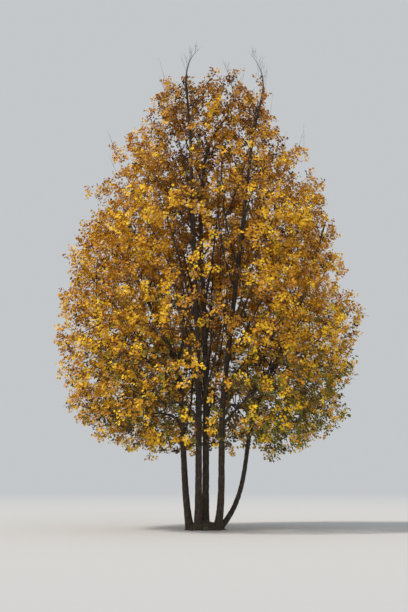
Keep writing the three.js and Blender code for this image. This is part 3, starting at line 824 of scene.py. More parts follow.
def drawn_twigs(crown, cell):
    """A cell's twigs, cut back where they stand out of the leaves."""
    twigs = crown.twigs(cell)
    start = np.array([root for root, _, _ in twigs])
    way = np.array([way for _, way, _ in twigs])
    length = np.array([reach for _, _, reach in twigs], float)
    thick = lerp(*DRAWN_TWIG.girths, length / TWIG.longest)
    drawn = Shoots(start, way, length, np.zeros_like(way), thick, DRAWN_TWIG.tip)
    for _ in range(DRAWN_TWIG.cuts):
        bare = crown.room(cell, drawn.tips()) < FILL.inside
        drawn.length = np.where(bare, drawn.length * DRAWN_TWIG.cut, drawn.length)
    return drawn


@lru_cache(maxsize=1)
def grown():
    """The whole crown, grown once: for each cell its twigs, branchlets and twiglets."""
    crown = Crown()
    for cell in crown.cells:
        cell.rng = np.random.default_rng(cell.seed)
        cell.twigs = drawn_twigs(crown, cell)
    crown.add_risers()
    for cell in crown.cells:
        cell.branchlets = branchlets(crown, cell, points_to_fill(crown, cell, cell.rng))
        cell.twiglets = side_shoots(crown, cell, cell.branchlets, TWIGLET, cell.rng)
    return crown


def linear(colour):
    """An sRGB hex colour as linear values."""
    shares = [int(colour[i:i + 2], 16) / 255 for i in (1, 3, 5)]
    return tuple(c / 12.92 if c <= 0.04045 else ((c + 0.055) / 1.055) ** 2.4 for c in shares)


def colour_property(name, description, colour):
    return FloatVectorProperty(
        name=name, description=description, default=linear(colour), size=3, min=0, max=1,
        subtype="COLOR",
    )


def length_property(name, description, default):
    return FloatProperty(name=name, description=description, default=default, unit="LENGTH")


class TreeSizes(bpy.types.PropertyGroup):
    """Sizes of the leaves, twigs and bark relief."""

    leaf_length: length_property("Leaf length", "A middling leaf's blade from base to tip", 0.080)
    leaf_pairs: IntProperty(name="Leaf pairs", description="Pairs of leaves on a twiglet", default=3)
    relief: length_property("Bark relief", "Depth of the fissures at a stem's foot", 0.007)
    ridge_width: length_property("Ridge width", "Width of a ridge of the bark", 0.042)
    ridge_length: length_property("Ridge length", "Length of a ridge of the bark", 0.24)


class TreeColours(bpy.types.PropertyGroup):
    """Colours of the leaves and the bark."""

    # Lemon at the crown's edge is also a painted glow of light through the leaves
    lemon: colour_property("Lemon gold", "Leaves at the crown's sunny edge", "#F4CA1C")
    gold: colour_property("Gold", "Most leaves of the outer crown", "#E2AA12")
    deep_gold: colour_property("Deep gold", "Leaves a little further in", "#CC910F")
    amber: colour_property("Amber", "Leaves of the upper crown", "#B58012")
    orange: colour_property("Orange", "Leaves that have turned further", "#A36A13")
    # Copper inside the crown is painted shade; near the top it is the leaves' own colour
    copper: colour_property("Copper", "Leaves near the top and inside", "#7C4C18")
    # Brown is also dealt inside the crown low down as painted shade
    brown: colour_property("Ochre brown", "Leaves that are about to fall", "#503A19")
    # Olive is also dealt inside the crown low down as painted shade
    olive: colour_property("Olive", "Leaves low on the right that are still half green", "#76721B")
    bark: colour_property("Bark", "Ridges of the bark", "#5C4C40")
    fissure: colour_property("Fissure", "Cracks between the ridges", "#1F1A16")
    twig: colour_property("Twig", "Bark of the twigs", "#33271E")


TINTS = ("lemon", "gold", "deep_gold", "amber", "orange", "copper", "brown", "olive")
BROWN, OLIVE = TINTS.index("brown"), TINTS.index("olive")
TINT_EDGES = (0.16, 0.34, 0.50, 0.64, 0.77, 0.90)  # how far a spray has turned at each change


class StageSizes(bpy.types.PropertyGroup):
    """The floor, the lights and the camera."""

    floor_radius: length_property("Floor radius", "Where the floor has faded", 75)
    camera_distance: length_property("Camera distance", "From the stool to the camera", 40)
    camera_height: length_property("Camera height", "Eye height", 1.7)
    camera_tilt: FloatProperty(name="Camera tilt", description="Degrees above level", default=6.7)
    lens: FloatProperty(
        name="Lens", description="Focal length in millimetres on a 36 mm long side", default=82
    )


def add_node(tree, kind, inputs=(), **settings):
    """Adds one shader node with its settings, and a value or a link for each input named."""
    node = tree.nodes.new("ShaderNode" + kind)
    for name, value in settings.items():
        setattr(node, name, value)
    for name, value in dict(inputs).items():
        if isinstance(value, bpy.types.NodeSocket):
            tree.links.new(value, node.inputs[name])
        else:
            node.inputs[name].default_value = value
    return node


def new_material(name):
    material = bpy.data.materials.new(name)
    material.use_nodes = True
    material.node_tree.nodes.clear()
    return material, material.node_tree


def finish_surface(tree, colour, height, bump, rough, more=()):
    """The Principled shader of a material, to its output. The height gives it relief, by the
    strength and the metres of bump, and roughness, between the two values of rough."""
    relief = {"Height": height, "Strength": bump[0], "Distance": bump[1]}
    grain = {"Value": height, "To Min": rough[0], "To Max": rough[1]}
    shader = add_node(tree, "BsdfPrincipled", {
        "Base Color": colour,
        "Roughness": add_node(tree, "MapRange", grain).outputs[0],
        "Normal": add_node(tree, "Bump", relief).outputs[0],
        **dict(more),
    })
    add_node(tree, "OutputMaterial", {"Surface": shader.outputs[0]})


def ramp(tree, factor, stops):
    """A colour ramp through stops of (place, linear colour)."""
    node = add_node(tree, "ValToRGB", {"Fac": factor})
    points = node.color_ramp.elements
    while len(points) < len(stops):
        points.new(0.5)
    for point, (place, colour) in zip(points, stops):
        point.position = place
        point.color = (*colour, 1)
    return node.outputs["Color"]


def toned(colour, share):
    """A colour made darker, or paler by a share above 1."""
    return tuple(min(c * share, 1) for c in colour)


def product(tree, first, second, **settings):
    """The output of a node that multiplies two values."""
    node = add_node(tree, "Math", {0: first, 1: second}, operation="MULTIPLY", **settings)
    return node.outputs[0]


def bark_material(name, ridge, plate, lichen, depth):
    """Maple bark split into ridges: rough and matt, its colour following the relief's height, dark in
    its cracks and paler on the ridge tops, with a dusting of lichen. ridge and plate are widths in
    metres."""
    colours = bpy.context.scene.maple_colours
    material, tree = new_material(name)
    place = add_node(tree, "TexCoord").outputs["Object"]
    ridges = (1 / ridge, 1 / ridge, 0.16 / ridge)
    long = add_node(tree, "Mapping", {"Vector": place, "Scale": ridges})
    pieces = (1 / plate, 1 / plate, 0.45 / plate)
    short = add_node(tree, "Mapping", {"Vector": place, "Scale": pieces})
    waves = add_node(tree, "TexNoise", {"Vector": long.outputs[0], "Scale": 1.0, "Detail": 5.0})
    cracks = add_node(tree, "TexVoronoi", {"Vector": short.outputs[0]}, feature="DISTANCE_TO_EDGE")
    plates = product(tree, cracks.outputs["Distance"], 3.2, use_clamp=True)
    height = product(tree, waves.outputs["Fac"], plates)
    # The colour follows the relief's height: near black in the cracks, paler on the ridge tops
    tone = ramp(tree, height, (
        (0.05, colours.fissure), (0.28, toned(colours.bark, 0.7)), (0.5, colours.bark),
        (0.75, toned(colours.bark, 1.7)),
    ))
    spots = add_node(
        tree, "TexNoise", {"Vector": place, "Scale": 9.0, "Detail": 8.0, "Roughness": 0.7}
    )
    dust = add_node(tree, "MapRange", {
        "Value": spots.outputs["Fac"], "From Min": 0.52, "From Max": 0.72, "To Max": lichen,
    })
    green = (*linear("#7C8068"), 1)
    mixed = add_node(tree, "Mix", {0: dust.outputs[0], 6: tone, 7: green}, data_type="RGBA")
    finish_surface(tree, mixed.outputs[2], height, (0.9, depth), (0.95, 0.78))
    return material


def grained_material(name, colour, scale, detail, bump, rough, more=()):
    """A material of one colour, whose relief and roughness follow one fine grain."""
    material, tree = new_material(name)
    place = add_node(tree, "TexCoord").outputs["Object"]
    grain = add_node(tree, "TexNoise", {"Vector": place, "Scale": scale, "Detail": detail})
    finish_surface(tree, (*colour, 1), grain.outputs["Fac"], bump, rough, more)
    return material


def twig_material():
    """Young maple bark: thin, smooth and a little waxy, reddish brown, with fine wrinkles."""
    colour = bpy.context.scene.maple_colours.twig
    return grained_material("young_maple_bark", colour, 180.0, 3.0, (0.4, 0.001), (0.5, 0.8))


def leaf_material(name, colour):
    """An autumn maple leaf: papery and half matt, with the skin's slight wax, and crinkled
    between its veins. The crinkle is drawn at 12 mm, coarser than life, so that it shows."""
    wax = {"IOR": 1.42, "Sheen Weight": 0.05}
    return grained_material(name, colour, 1 / 0.012, 2.0, (0.35, 0.004), (0.42, 0.68), wax)


@lru_cache(maxsize=None)
def finish(name):
    """The tree's materials, each made once, when it is first wanted."""
    if name == "stem":
        return bark_material("weathered_maple_bark", 0.045, 0.03, 0.45, 0.008)
    if name == "bough":
        return bark_material("half_grown_maple_bark", 0.03, 0.018, 0.35, 0.003)
    if name == "twig":
        return twig_material()
    return leaf_material(name + "_maple_leaf", getattr(bpy.context.scene.maple_colours, name))


def new_piece(mesh, slot, nodes):
    """Makes a finished piece that rides with the tree and stands for the nodes named."""
    piece = bpy.data.objects.new(mesh.name, mesh)
    bpy.context.scene.collection.objects.link(piece)
    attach(piece, "root")
    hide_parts(*nodes)


def eased(low, high, values):
    """How far values are from low to high, from 0 to 1, with soft ends."""
    share = np.clip((values - low) / (high - low), 0, 1)
    return share * share * (3 - 2 * share)


def ridge_height(x, y, z):
    """The bark's height at a place in millimetres: 1 on a ridge, below 0 in a fissure."""
    sizes = bpy.context.scene.maple_sizes
    width, length = sizes.ridge_width / MM, sizes.ridge_length / MM
    place = Vector((x / width, y / width, z / length))
    coarse, fine = abs(noise.noise(place)), noise.noise(place * RIDGES.finer)
    return 1 - RIDGES.sharp * coarse + RIDGES.fine * fine


class Station:
    """One ring of a limb: its centre, direction, radius, and how far along the limb it lies."""

    def __init__(self, centre, way, radius, run):
        self.centre, self.way, self.radius, self.run = centre, way, radius, run


def stations(curves, spacing):
    """Rings along curves that follow on from each other, spaced by a function of height."""
    rings, run = [], 0
    for curve in curves:
        share = 0
        length = length_of(curve, TUBE_LOOKS)
        while share < 1:
            centre = curve.point(share)
            rings.append(Station(centre, curve.way(share), curve.radius(share), run + share * length))
            share += spacing(centre.z) / length
        run += length
    last = curves[-1]
    rings.append(Station(last.point(1), last.way(1), last.radius(1), run))
    return rings


def bark_tube(bm, rings, sides, relief, upright):
    """A limb with its bark's relief, by extruding a ring of edges from station to station. The
    relief follows the place in space on an upright limb, and else the place along the limb."""
    made = bmesh.ops.create_circle(bm, cap_ends=True, segments=sides, radius=1)["verts"]
    corners = sorted(made, key=lambda v: math.atan2(v.co.y, v.co.x))
    edges = list({edge for corner in corners for edge in corner.link_edges})
    side = Vector((1, 0, 0)) if abs(rings[0].way.x) < 0.8 else Vector((0, 1, 0))
    angles = [math.atan2(v.co.y, v.co.x) for v in corners]
    for number, ring in enumerate(rings):
        if number:
            grown = bmesh.ops.extrude_edge_only(bm, edges=edges)["geom"]
            edges = [part for part in grown if isinstance(part, bmesh.types.BMEdge)]
            before = {v: i for i, v in enumerate(corners)}
            fresh = [part for part in grown if isinstance(part, bmesh.types.BMVert)]
            corners = sorted(fresh, key=lambda v: before_index(v, before))
        side = (side - ring.way * side.dot(ring.way)).normalized()
        other = ring.way.cross(side)
        for corner, angle in zip(corners, angles):
            out = side * math.cos(angle) + other * math.sin(angle)
            spot = ring.centre + out * ring.radius
            if not upright:
                turned = Vector((math.cos(angle), math.sin(angle), 0)) * ring.radius
                spot = turned + UP * ring.run
            rise = relief(ring) * ridge_height(*spot)
            corner.co = (ring.centre + out * (ring.radius + rise)) * MM
    end = rings[-1]
    closing = bmesh.ops.extrude_edge_only(bm, edges=edges)["geom"]
    last = [part for part in closing if isinstance(part, bmesh.types.BMVert)]
    bmesh.ops.pointmerge(bm, verts=last, merge_co=(end.centre + end.way * end.radius) * MM)


def before_index(corner, before):
    """The number of the corner that this one was extruded from."""
    for edge in corner.link_edges:
        neighbour = edge.other_vert(corner)
        if neighbour in before:
            return before[neighbour]
    raise RuntimeError("an extruded corner has lost its ring")


def new_mesh(name, bm, materials, smooth=True):
    mesh = bpy.data.meshes.new(name)
    bm.to_mesh(mesh)
    bm.free()
    for material in materials:
        mesh.materials.append(material)
    mesh.polygons.foreach_set("use_smooth", [smooth] * len(mesh.polygons))
    return mesh


@lru_cache(maxsize=None)
def twig_shape(sides, rings):
    """A pointed prism as arrays: its corners as (x, y, ring), and its triangles."""
    bm = bmesh.new()
    corners = bmesh.ops.create_circle(bm, segments=sides, radius=1)["verts"]
    edges = list(bm.edges)
    for _ in range(rings):
        grown = bmesh.ops.extrude_edge_only(bm, edges=edges)["geom"]
        edges = [part for part in grown if isinstance(part, bmesh.types.BMEdge)]
        corners = [part for part in grown if isinstance(part, bmesh.types.BMVert)]
        bmesh.ops.translate(bm, verts=corners, vec=UP)
    bmesh.ops.pointmerge(bm, verts=corners, merge_co=(0, 0, rings))
    bmesh.ops.triangulate(bm, faces=bm.faces)
    bmesh.ops.recalc_face_normals(bm, faces=bm.faces)
    return arrays_of(bm)


@lru_cache(maxsize=None)
def leaf_shape():
    """A leaf with its stalk, a blade's length long, as arrays. Five blunt lobes in outline."""
    bm = bmesh.new()
    half = [
        bm.verts.new((across, along + PETIOLE.length, rise))
        for (across, along), rise in zip(LEAF_OUTLINE, LEAF_RISE)
    ]
    face = bm.faces.new(half)
    bmesh.ops.mirror(bm, geom=[*half, *face.edges, face], axis="X", merge_dist=1e-5)
    width = PETIOLE.half_width
    neck = [bm.verts.new((x, y, 0)) for x, y in ((0, 0), (width, half[0].co.y), (-width, half[0].co.y))]
    bm.faces.new(neck)
    bmesh.ops.triangulate(bm, faces=bm.faces)
    bm.normal_update()
    bmesh.ops.reverse_faces(bm, faces=[f for f in bm.faces if f.normal.z < 0])
    return arrays_of(bm)


def arrays_of(bm):
    bm.verts.index_update()
    corners = np.array([corner.co for corner in bm.verts])
    triangles = np.array([[corner.index for corner in face.verts] for face in bm.faces])
    bm.free()
    return corners, triangles


def joined_copies(name, points, triangles, materials, dealt=None, smooth=False):
    """Many copies of a small shape as one mesh. points is copies by corners by 3, in mm, and
    dealt gives each copy its material."""
    copies, corners, _ = points.shape
    count = copies * len(triangles)
    index = triangles + corners * np.arange(copies)[:, None, None]
    mesh = bpy.data.meshes.new(name)
    mesh.vertices.add(copies * corners)
    mesh.vertices.foreach_set("co", (points * MM).astype(np.float32).ravel())
    mesh.loops.add(3 * count)
    mesh.loops.foreach_set("vertex_index", index.astype(np.int32).ravel())
    mesh.polygons.add(count)
    mesh.polygons.foreach_set("loop_start", np.arange(0, 3 * count, 3, dtype=np.int32))
    for material in materials:
        mesh.materials.append(material)
    if dealt is not None:
        mesh.polygons.foreach_set("material_index", np.repeat(dealt, len(triangles)).astype(np.int32))
    mesh.polygons.foreach_set("use_smooth", [smooth] * count)
    mesh.update(calc_edges=True)
    return mesh


def twig_points(shoots, sides, rings):
    """The corners of every shoot of one order, and the triangles of one of them."""
    shape, triangles = twig_shape(sides, rings)
    level, other = sides_of(shoots.way)
    points = np.empty((len(shoots), len(shape), 3))
    for i, (x, y, ring) in enumerate(shape):
        share = np.full(len(shoots), ring / rings)
        girth = shoots.girth_at(share)[:, None]
        points[:, i] = shoots.at(share) + girth * (x * level + y * other)
    return points, triangles


class Leaves(Rows):
    """Leaves: root, direction, the side that faces the light, size, and their spray."""

    PARTS = ("root", "way", "face", "size", "spray")

    def __init__(self, root, way, face, size, spray):
        self.root, self.way, self.face, self.size, self.spray = root, way, face, size, spray

    def points(self, rng):
        """The corners of every leaf, each blade folded and stretched a little differently."""
        shape, triangles = leaf_shape()
        across = np.cross(self.way, self.face)
        wide = rng.uniform(*LEAF.widths, len(self)) * self.size
        fold = rng.uniform(*LEAF.folds, len(self)) * self.size
        points = np.empty((len(self), len(shape), 3))
        for i, (x, y, z) in enumerate(shape):
            points[:, i] = self.root + self.way * (y * self.size)[:, None]
            points[:, i] += across * (x * wide)[:, None] + self.face * (z * fold)[:, None]
        return points, triangles


def leaves_on(shoots, spray, pairs, rule, length, rng):
    """Opposite pairs of leaves along each shoot and one at its tip, their blades to the light
    and drooping from their stalks."""
    rank, owner = pairs_on(shoots, pairs)
    share = lerp(rule.first, rule.last, (rank + 0.5) / pairs)
    azimuth = square_turns(rank, pairs, LEAF.swing, rng)
    side = owner.at(share)
    ways = [shoots.way]
    for half_turn in (0, math.pi):
        splay = rule.splay * rng.uniform(*LEAF.splays, len(rank))
        ways.append(splayed(owner.way_at(share), azimuth + half_turn, splay))
    root = np.concatenate((shoots.tips(), side, side))
    way = np.concatenate(ways) + rng.normal(0, LEAF.scatter, root.shape)
    way[:, 2] -= LEAF.droop
    way = unit(way)
    face = LEAF.outward * unit(from_axis(root)) + rng.normal(0, LEAF.tilt, root.shape)
    face[:, 2] += LEAF.upward
    face = unit(face - way * (face * way).sum(1)[:, None])
    size = length * rng.uniform(*LEAF.sizes, len(root))
    numbers = np.repeat(spray, pairs)
    return Leaves(root, way, face, size, np.concatenate((spray, numbers, numbers)))


def cell_leaves(crown, cell):
    """Every leaf of a mass that stays in its space and clear of the limbs, and each one's tint."""
    sizes = bpy.context.scene.maple_sizes
    length, rng = sizes.leaf_length / MM, cell.rng
    groups = (
        (cell.twiglets, ON_TWIGLETS, sizes.leaf_pairs),
        (cell.branchlets, ON_ENDS, ON_ENDS.pairs),
    )
    sets, middles, made = [], [], 0
    for shoots, rule, pairs in groups:
        spray = made + np.arange(len(shoots))
        sets.append(leaves_on(shoots, spray, pairs, rule, length, rng))
        middles.append(shoots.at(np.full(len(shoots), LEAF.middle)))
        made += len(shoots)
    leaves = Leaves.joined(sets)
    reach = (leaves.size * (1 + PETIOLE.length))[:, None] * leaves.way
    tips = leaves.root + reach
    blades = leaves.root + LEAF.middle * reach
    clear = crown.room(cell, tips, bumps(tips)) > -LEAF.overhang
    clear &= crown.limbs.space(blades, cell.name) > LEAF.off_limbs
    leaves = leaves.kept(clear)
    tints = spray_tints(np.concatenate(middles), rng)
    return leaves, tints[leaves.spray]


def spray_tints(middles, rng):
    """Each spray's tint, by where it is: lemon and gold at the crown's edge and low down, orange
    and brown towards the top and the inside, in patches, with some olive low on the right. The
    lemon at the edge is a painted glow of light through the leaves, and the brown and olive inside,
    most of all low down, are painted shade."""
    x, y, _ = from_axis(middles).T
    outline = np.interp(middles[:, 2], OUTLINE.heights, OUTLINE.radii)
    outward, right = np.hypot(x, y) / outline, x / outline
    height = middles[:, 2] / TREE_HEIGHT
    patch = np.array([noise.noise(Vector(middle) / TURNED_AND_LIT.patch) for middle in middles])
    # Lower at the rim and higher inside: a painted glow at the crown's edge and painted shade within
    turned = TURNED_AND_LIT.start + TURNED_AND_LIT.outward * (outward - TURNED_AND_LIT.rim)
    turned += TURNED_AND_LIT.upward * (height - TURNED_AND_LIT.half) + TURNED_AND_LIT.patchy * patch
    turned += rng.normal(0, TURNED_AND_LIT.scatter, len(middles))
    tints = np.digitize(turned, TINT_EDGES)
    # Painted shade: brown and olive tints dealt to sprays inside the crown low down
    shade_weight = eased(*PAINTED_SHADE.outward, outward) * eased(*PAINTED_SHADE.height, height)
    painted_shade = rng.random(len(middles)) < PAINTED_SHADE.share * shade_weight
    tints[painted_shade] = np.where(rng.random(painted_shade.sum()) < PAINTED_SHADE.brown, BROWN, OLIVE)
    low_right = eased(*GREEN.height, height) * eased(*GREEN.right, right)
    tints[rng.random(len(middles)) < GREEN.share * low_right] = OLIVE
    return tints


def whips(crown, cell):
    """Bare shoots on the ends of some branchlets just under the top of the leaves."""
    rng = np.random.default_rng(cell.seed + WHIP.seed)
    ends = cell.branchlets.tips()
    above = ends + (0, 0, WHIP.cover)
    bears = (ends[:, 2] > WHIP.above) & (crown.outline_depth(above) < 0)
    bears &= rng.random(len(ends)) < WHIP.share
    start = ends[bears]
    way = unit(growth_way(start) + rng.normal(0, WHIP.spread, start.shape))
    length = WHIP.length * rng.uniform(*WHIP.lengths, len(start))
    bend = np.tile((0, 0, WHIP.bend), (len(start), 1))
    shoots = Shoots(start, way, length, bend, WHIP.thick, WHIP.tip)
    shoots = shoots.kept(shoots.tips()[:, 2] < TREE_HEIGHT - WHIP.below_top)
    return shoots, bare_shoots(shoots, LEADER_TWIGLET, rng)


def leader_shoots(cell):
    """The bare leader of a stem's top with its bare twigs in two orders."""
    rng = np.random.default_rng(cell.seed + LEADER.seed)
    root = np.array([cell.stalk.on_axis(LEADER.from_share)])
    along = np.array([cell.leader]) - root
    length = np.linalg.norm(along, axis=1)
    way = unit(np.array([cell.stalk.way(1)]))
    girth = cell.stalk.radius(1) * LEADER.girth
    leader = Shoots(root, way, length, along / length - way, girth, LEADER.tip)
    twigs = bare_shoots(leader, LEADER_TWIG, rng)
    return leader, twigs, bare_shoots(twigs, LEADER_TWIGLET, rng)


def bare_shoots(parents, rule, rng):
    """Opposite pairs of bare shoots along each parent, kept under the tree's height."""
    made = []
    rank, owner = pairs_on(parents, rule.pairs)
    for half_turn in (0, math.pi):
        share = staggered(rule, rank, rng)
        turn = half_turn + rank * math.pi / 2 + rng.normal(0, rule.swing, len(rank))
        way = lifted(splayed(owner.way, turn, np.full(len(rank), rule.splay)), rule.lift)
        length = side_lengths(rule, share, rng)
        bend = np.tile((0, 0, rule.bend), (len(rank), 1))
        some = Shoots(owner.at(share), way, length, bend, rule.thick, rule.tip)
        made.append(some.kept(some.tips()[:, 2] < TREE_HEIGHT - TOP_GAP))
    return Shoots.joined(made)


def names_of(tier, kind, cells):
    return [f"{tier}_{kind}_{cell.place + 1}" for cell in cells]


def tier_cells(crown):
    """Each tier's name with its cells."""
    for tier in TIERS:
        yield tier.name, [cell for cell in crown.cells if cell.tier is tier]


class MAPLE_OT_stool(bpy.types.Operator):
    """The root stool: a dome with spurs and the feet of the stems, grown into one"""

    bl_idname = "maple.stool"
    bl_label = "Root stool"

    def execute(self, context):
        crown = grown()
        bm = bmesh.new()
        dome = bmesh.ops.create_uvsphere(bm, u_segments=32, v_segments=20, radius=MM)["verts"]
        scale = (STOOL.half_width, STOOL.half_depth, STOOL.height)
        bmesh.ops.scale(bm, verts=dome, vec=scale)
        for stem in crown.stems:
            foot = Stretch(stem, STOOL.foot, stem.cut, STEM_TAPER.foot_steps)
            rings = stations([foot], lambda z: FOOT_RINGS.spacing)
            for ring in rings:
                top = eased(stem.cut - STOOL.over, stem.cut, ring.centre.z)
                ring.radius *= 1 - STOOL.narrower * top
            bark_tube(bm, rings, FOOT_RINGS.sides, lambda ring: 0, True)
        for i in range(SPURS.count):
            rings = stations([spur(i)], lambda z: SPUR_RINGS.spacing)
            bark_tube(bm, rings, SPUR_RINGS.sides, lambda ring: 0, True)
        bm = fused(context, bm)
        add_relief(bm, context.scene.maple_sizes.relief)
        cut_at_ground(bm)
        mesh = new_mesh("root_stool_bark", bm, (finish("stem"),))
        new_piece(mesh, "root_bark", ["root_stool"])
        return {"FINISHED"}


def fused(context, bm):
    """One skin over overlapping shapes, with its creases eased."""
    rough = bpy.data.objects.new("stool_rough", new_mesh("stool_rough", bm, ()))
    context.scene.collection.objects.link(rough)
    fuse = rough.modifiers.new("fuse", "REMESH")
    fuse.mode = "VOXEL"
    fuse.voxel_size = STOOL.voxel
    ease = rough.modifiers.new("ease", "SMOOTH")
    ease.factor = STOOL.ease
    ease.iterations = STOOL.ease_times
    shape = rough.evaluated_get(context.evaluated_depsgraph_get())
    skin = bpy.data.meshes.new_from_object(shape)
    bpy.data.objects.remove(rough)
    bm = bmesh.new()
    bm.from_mesh(skin)
    bpy.data.meshes.remove(skin)
    return bm


def add_relief(bm, depth):
    bm.normal_update()
    for corner in bm.verts:
        corner.co += corner.normal * depth * ridge_height(*(corner.co / MM))


def cut_at_ground(bm):
    """Takes off what lies under the ground and closes the cut with a flat face."""
    whole = [*bm.verts, *bm.edges, *bm.faces]
    cut = bmesh.ops.bisect_plane(
        bm, geom=whole, plane_co=(0, 0, 0), plane_no=(0, 0, -1), clear_outer=True
    )
    rim = [part for part in cut["geom_cut"] if isinstance(part, bmesh.types.BMEdge)]
    bmesh.ops.contextual_create(bm, geom=rim)
    bmesh.ops.triangulate(bm, faces=[face for face in bm.faces if len(face.verts) > 4])


def spur(i):
    """One spur of the stool: a root that swells out of it and runs into the ground."""
    uneven = SPURS.uneven_turn * math.sin(5 * i)
    turn = SPURS.first_turn + 2 * math.pi * i / SPURS.count + uneven
    reach = SPURS.reach * (1 + SPURS.uneven_reach * math.cos(3 * i))
    away = Vector((math.cos(turn), math.sin(turn) * STOOL.half_depth / STOOL.half_width, 0))
    start = UP * SPURS.height + away * reach * SPURS.start
    knee = UP * SPURS.knee + away * reach * SPURS.knee_at
    tip = UP * SPURS.tip + away * reach
    return Arc(start, knee, tip, SPURS.radius, SPURS.tip_share, SPURS.steps)


class MAPLE_OT_stems(bpy.types.Operator):
    """The five stems with their bark, each running on into the stalk of the mass on its top"""

    bl_idname = "maple.stems"
    bl_label = "Stems"

    def execute(self, context):
        crown = grown()
        stalks = {cell.stem.name: cell.stalk for cell in crown.cells if cell.stem}
        for stem in crown.stems:
            low, out = stem.cut - FOOT.overlap, stem.cut - FOOT.out_at
            curves = [Stretch(stem, low, stem.end, STEM_TAPER.steps), stalks[stem.name]]
            rings = stations(curves, ring_spacing)
            for ring in rings:
                ring.radius *= FOOT.girth + FOOT.swell * eased(low, out, ring.centre.z)
            bm = bmesh.new()
            bark_tube(bm, rings, STEM_RINGS.sides, stem_relief(stem), True)
            mesh = new_mesh(stem.name + "_bark", bm, (finish("stem"),))
            new_piece(mesh, "stem_bark", [stem.name])
        return {"FINISHED"}


def stem_relief(stem):
    """How deep a stem's fissures are, which flatten out as it gets thin."""
    depth = bpy.context.scene.maple_sizes.relief / MM
    return lambda ring: depth * min(ring.radius / stem.thickness, 1)


def ring_spacing(z):
    return STEM_RINGS.low if z < STEM_RINGS.fine_to else STEM_RINGS.high


class MAPLE_OT_boughs(bpy.types.Operator):
    """The boughs, one piece to a tier, each running on into the stalk of its mass"""

    bl_idname = "maple.boughs"
    bl_label = "Boughs"

    def execute(self, context):
        for tier, cells in tier_cells(grown()):
            bm = bmesh.new()
            cells = [cell for cell in cells if cell.bough]
            for cell in cells:
                rings = stations([cell.bough, cell.stalk], lambda z: BOUGH_RINGS.spacing)
                collar = cell.bough.stem.radius(cell.bough.start.z)
                for ring in rings:
                    beyond = max(ring.run - collar, 0)
                    ring.radius *= 1 + COLLAR.extra * math.exp(-beyond / COLLAR.over)
                bark_tube(bm, rings, BOUGH_RINGS.sides, bough_relief, False)
            mesh = new_mesh(tier + "_bough_bark", bm, (finish("bough"),))
            new_piece(mesh, "bough_bark", names_of(tier, "bough", cells))
        return {"FINISHED"}


def bough_relief(ring):
    """How deep a bough's fissures are, which flatten out towards its thin end."""
    depth = bpy.context.scene.maple_sizes.relief / MM
    return BOUGH_RELIEF.share * depth * min(ring.radius / BOUGH_RELIEF.full_at, 1)


class MAPLE_OT_risers(bpy.types.Operator):
    """The slender limbs that rise beside the stems, as one piece"""

    bl_idname = "maple.risers"
    bl_label = "Slender limbs"

    def execute(self, context):
        depth = context.scene.maple_sizes.relief / MM
        bm = bmesh.new()
        for riser in grown().risers:
            rings = stations([riser], lambda z: RISER_RINGS.spacing)
            bark_tube(bm, rings, RISER_RINGS.sides, lambda ring: RISER_RELIEF * depth, False)
        mesh = new_mesh("slender_limb_bark", bm, (finish("bough"),))
        new_piece(mesh, "bough_bark", [])
        return {"FINISHED"}


class MAPLE_OT_twigs(bpy.types.Operator):
    """The twigs of every mass in three orders, one piece to a tier, and the bare ones on top"""

    bl_idname = "maple.twigs"
    bl_label = "Twigs"

    def execute(self, context):
        crown = grown()
        for tier, cells in tier_cells(crown):
            parts = []
            for order, rings in SHOOT_RINGS.items():
                shoots = Shoots.joined([getattr(cell, order) for cell in cells])
                parts.append(twig_points(shoots, *rings))
            for cell in cells:
                bare = list(zip(whips(crown, cell), WHIP_RINGS))
                if cell.leader:
                    bare += zip(leader_shoots(cell), LEADER_RINGS)
                parts += [twig_points(shoots, *rings) for shoots, rings in bare if len(shoots)]
            mesh = joined_shapes(tier + "_twigs", parts, (finish("twig"),))
            new_piece(mesh, tier + "_foliage", names_of(tier, "leaves", cells))
        return {"FINISHED"}


def joined_shapes(name, parts, materials):
    """Several sets of copies as one smooth mesh."""
    corners = np.concatenate([points.reshape(-1, 3) for points, _ in parts])
    triangles, first = [], 0
    for points, shape in parts:
        copies, count, _ = points.shape
        triangles.append((shape + first + count * np.arange(copies)[:, None, None]).reshape(-1, 3))
        first += copies * count
    return joined_copies(name, corners[None], np.concatenate(triangles), materials, smooth=True)


class MAPLE_OT_leaves(bpy.types.Operator):
    """The leaves of every mass, one piece to a mass, in tints dealt out by spray"""

    bl_idname = "maple.leaves"
    bl_label = "Leaves"

    def execute(self, context):
        crown = grown()
        tints = [finish(name) for name in TINTS]
        for cell in crown.cells:
            leaves, dealt = cell_leaves(crown, cell)
            points, triangles = leaves.points(cell.rng)
            name = cell.name.replace("leaves", "foliage")
            mesh = joined_copies(name, points, triangles, tints, dealt)
            new_piece(mesh, cell.tier.name + "_foliage", [cell.name])
        return {"FINISHED"}


class MAPLE_OT_stage(bpy.types.Operator):
    """A pale floor that fades out, a key light from upper left, a fill from the front, and the camera"""

    bl_idname = "maple.stage"
    bl_label = "Stage"

    def execute(self, context):
        stage = context.scene.maple_stage
        make_floor(stage)
        make_world()
        soft_sun("key", strength=2.3, angle=10, way=(0.50, 0.28, -0.82), colour="#FFF6EA")
        soft_sun("fill", strength=0.35, angle=50, way=(-0.30, 0.85, -0.40), colour="#FFF8EE")
        make_camera(stage)
        return {"FINISHED"}


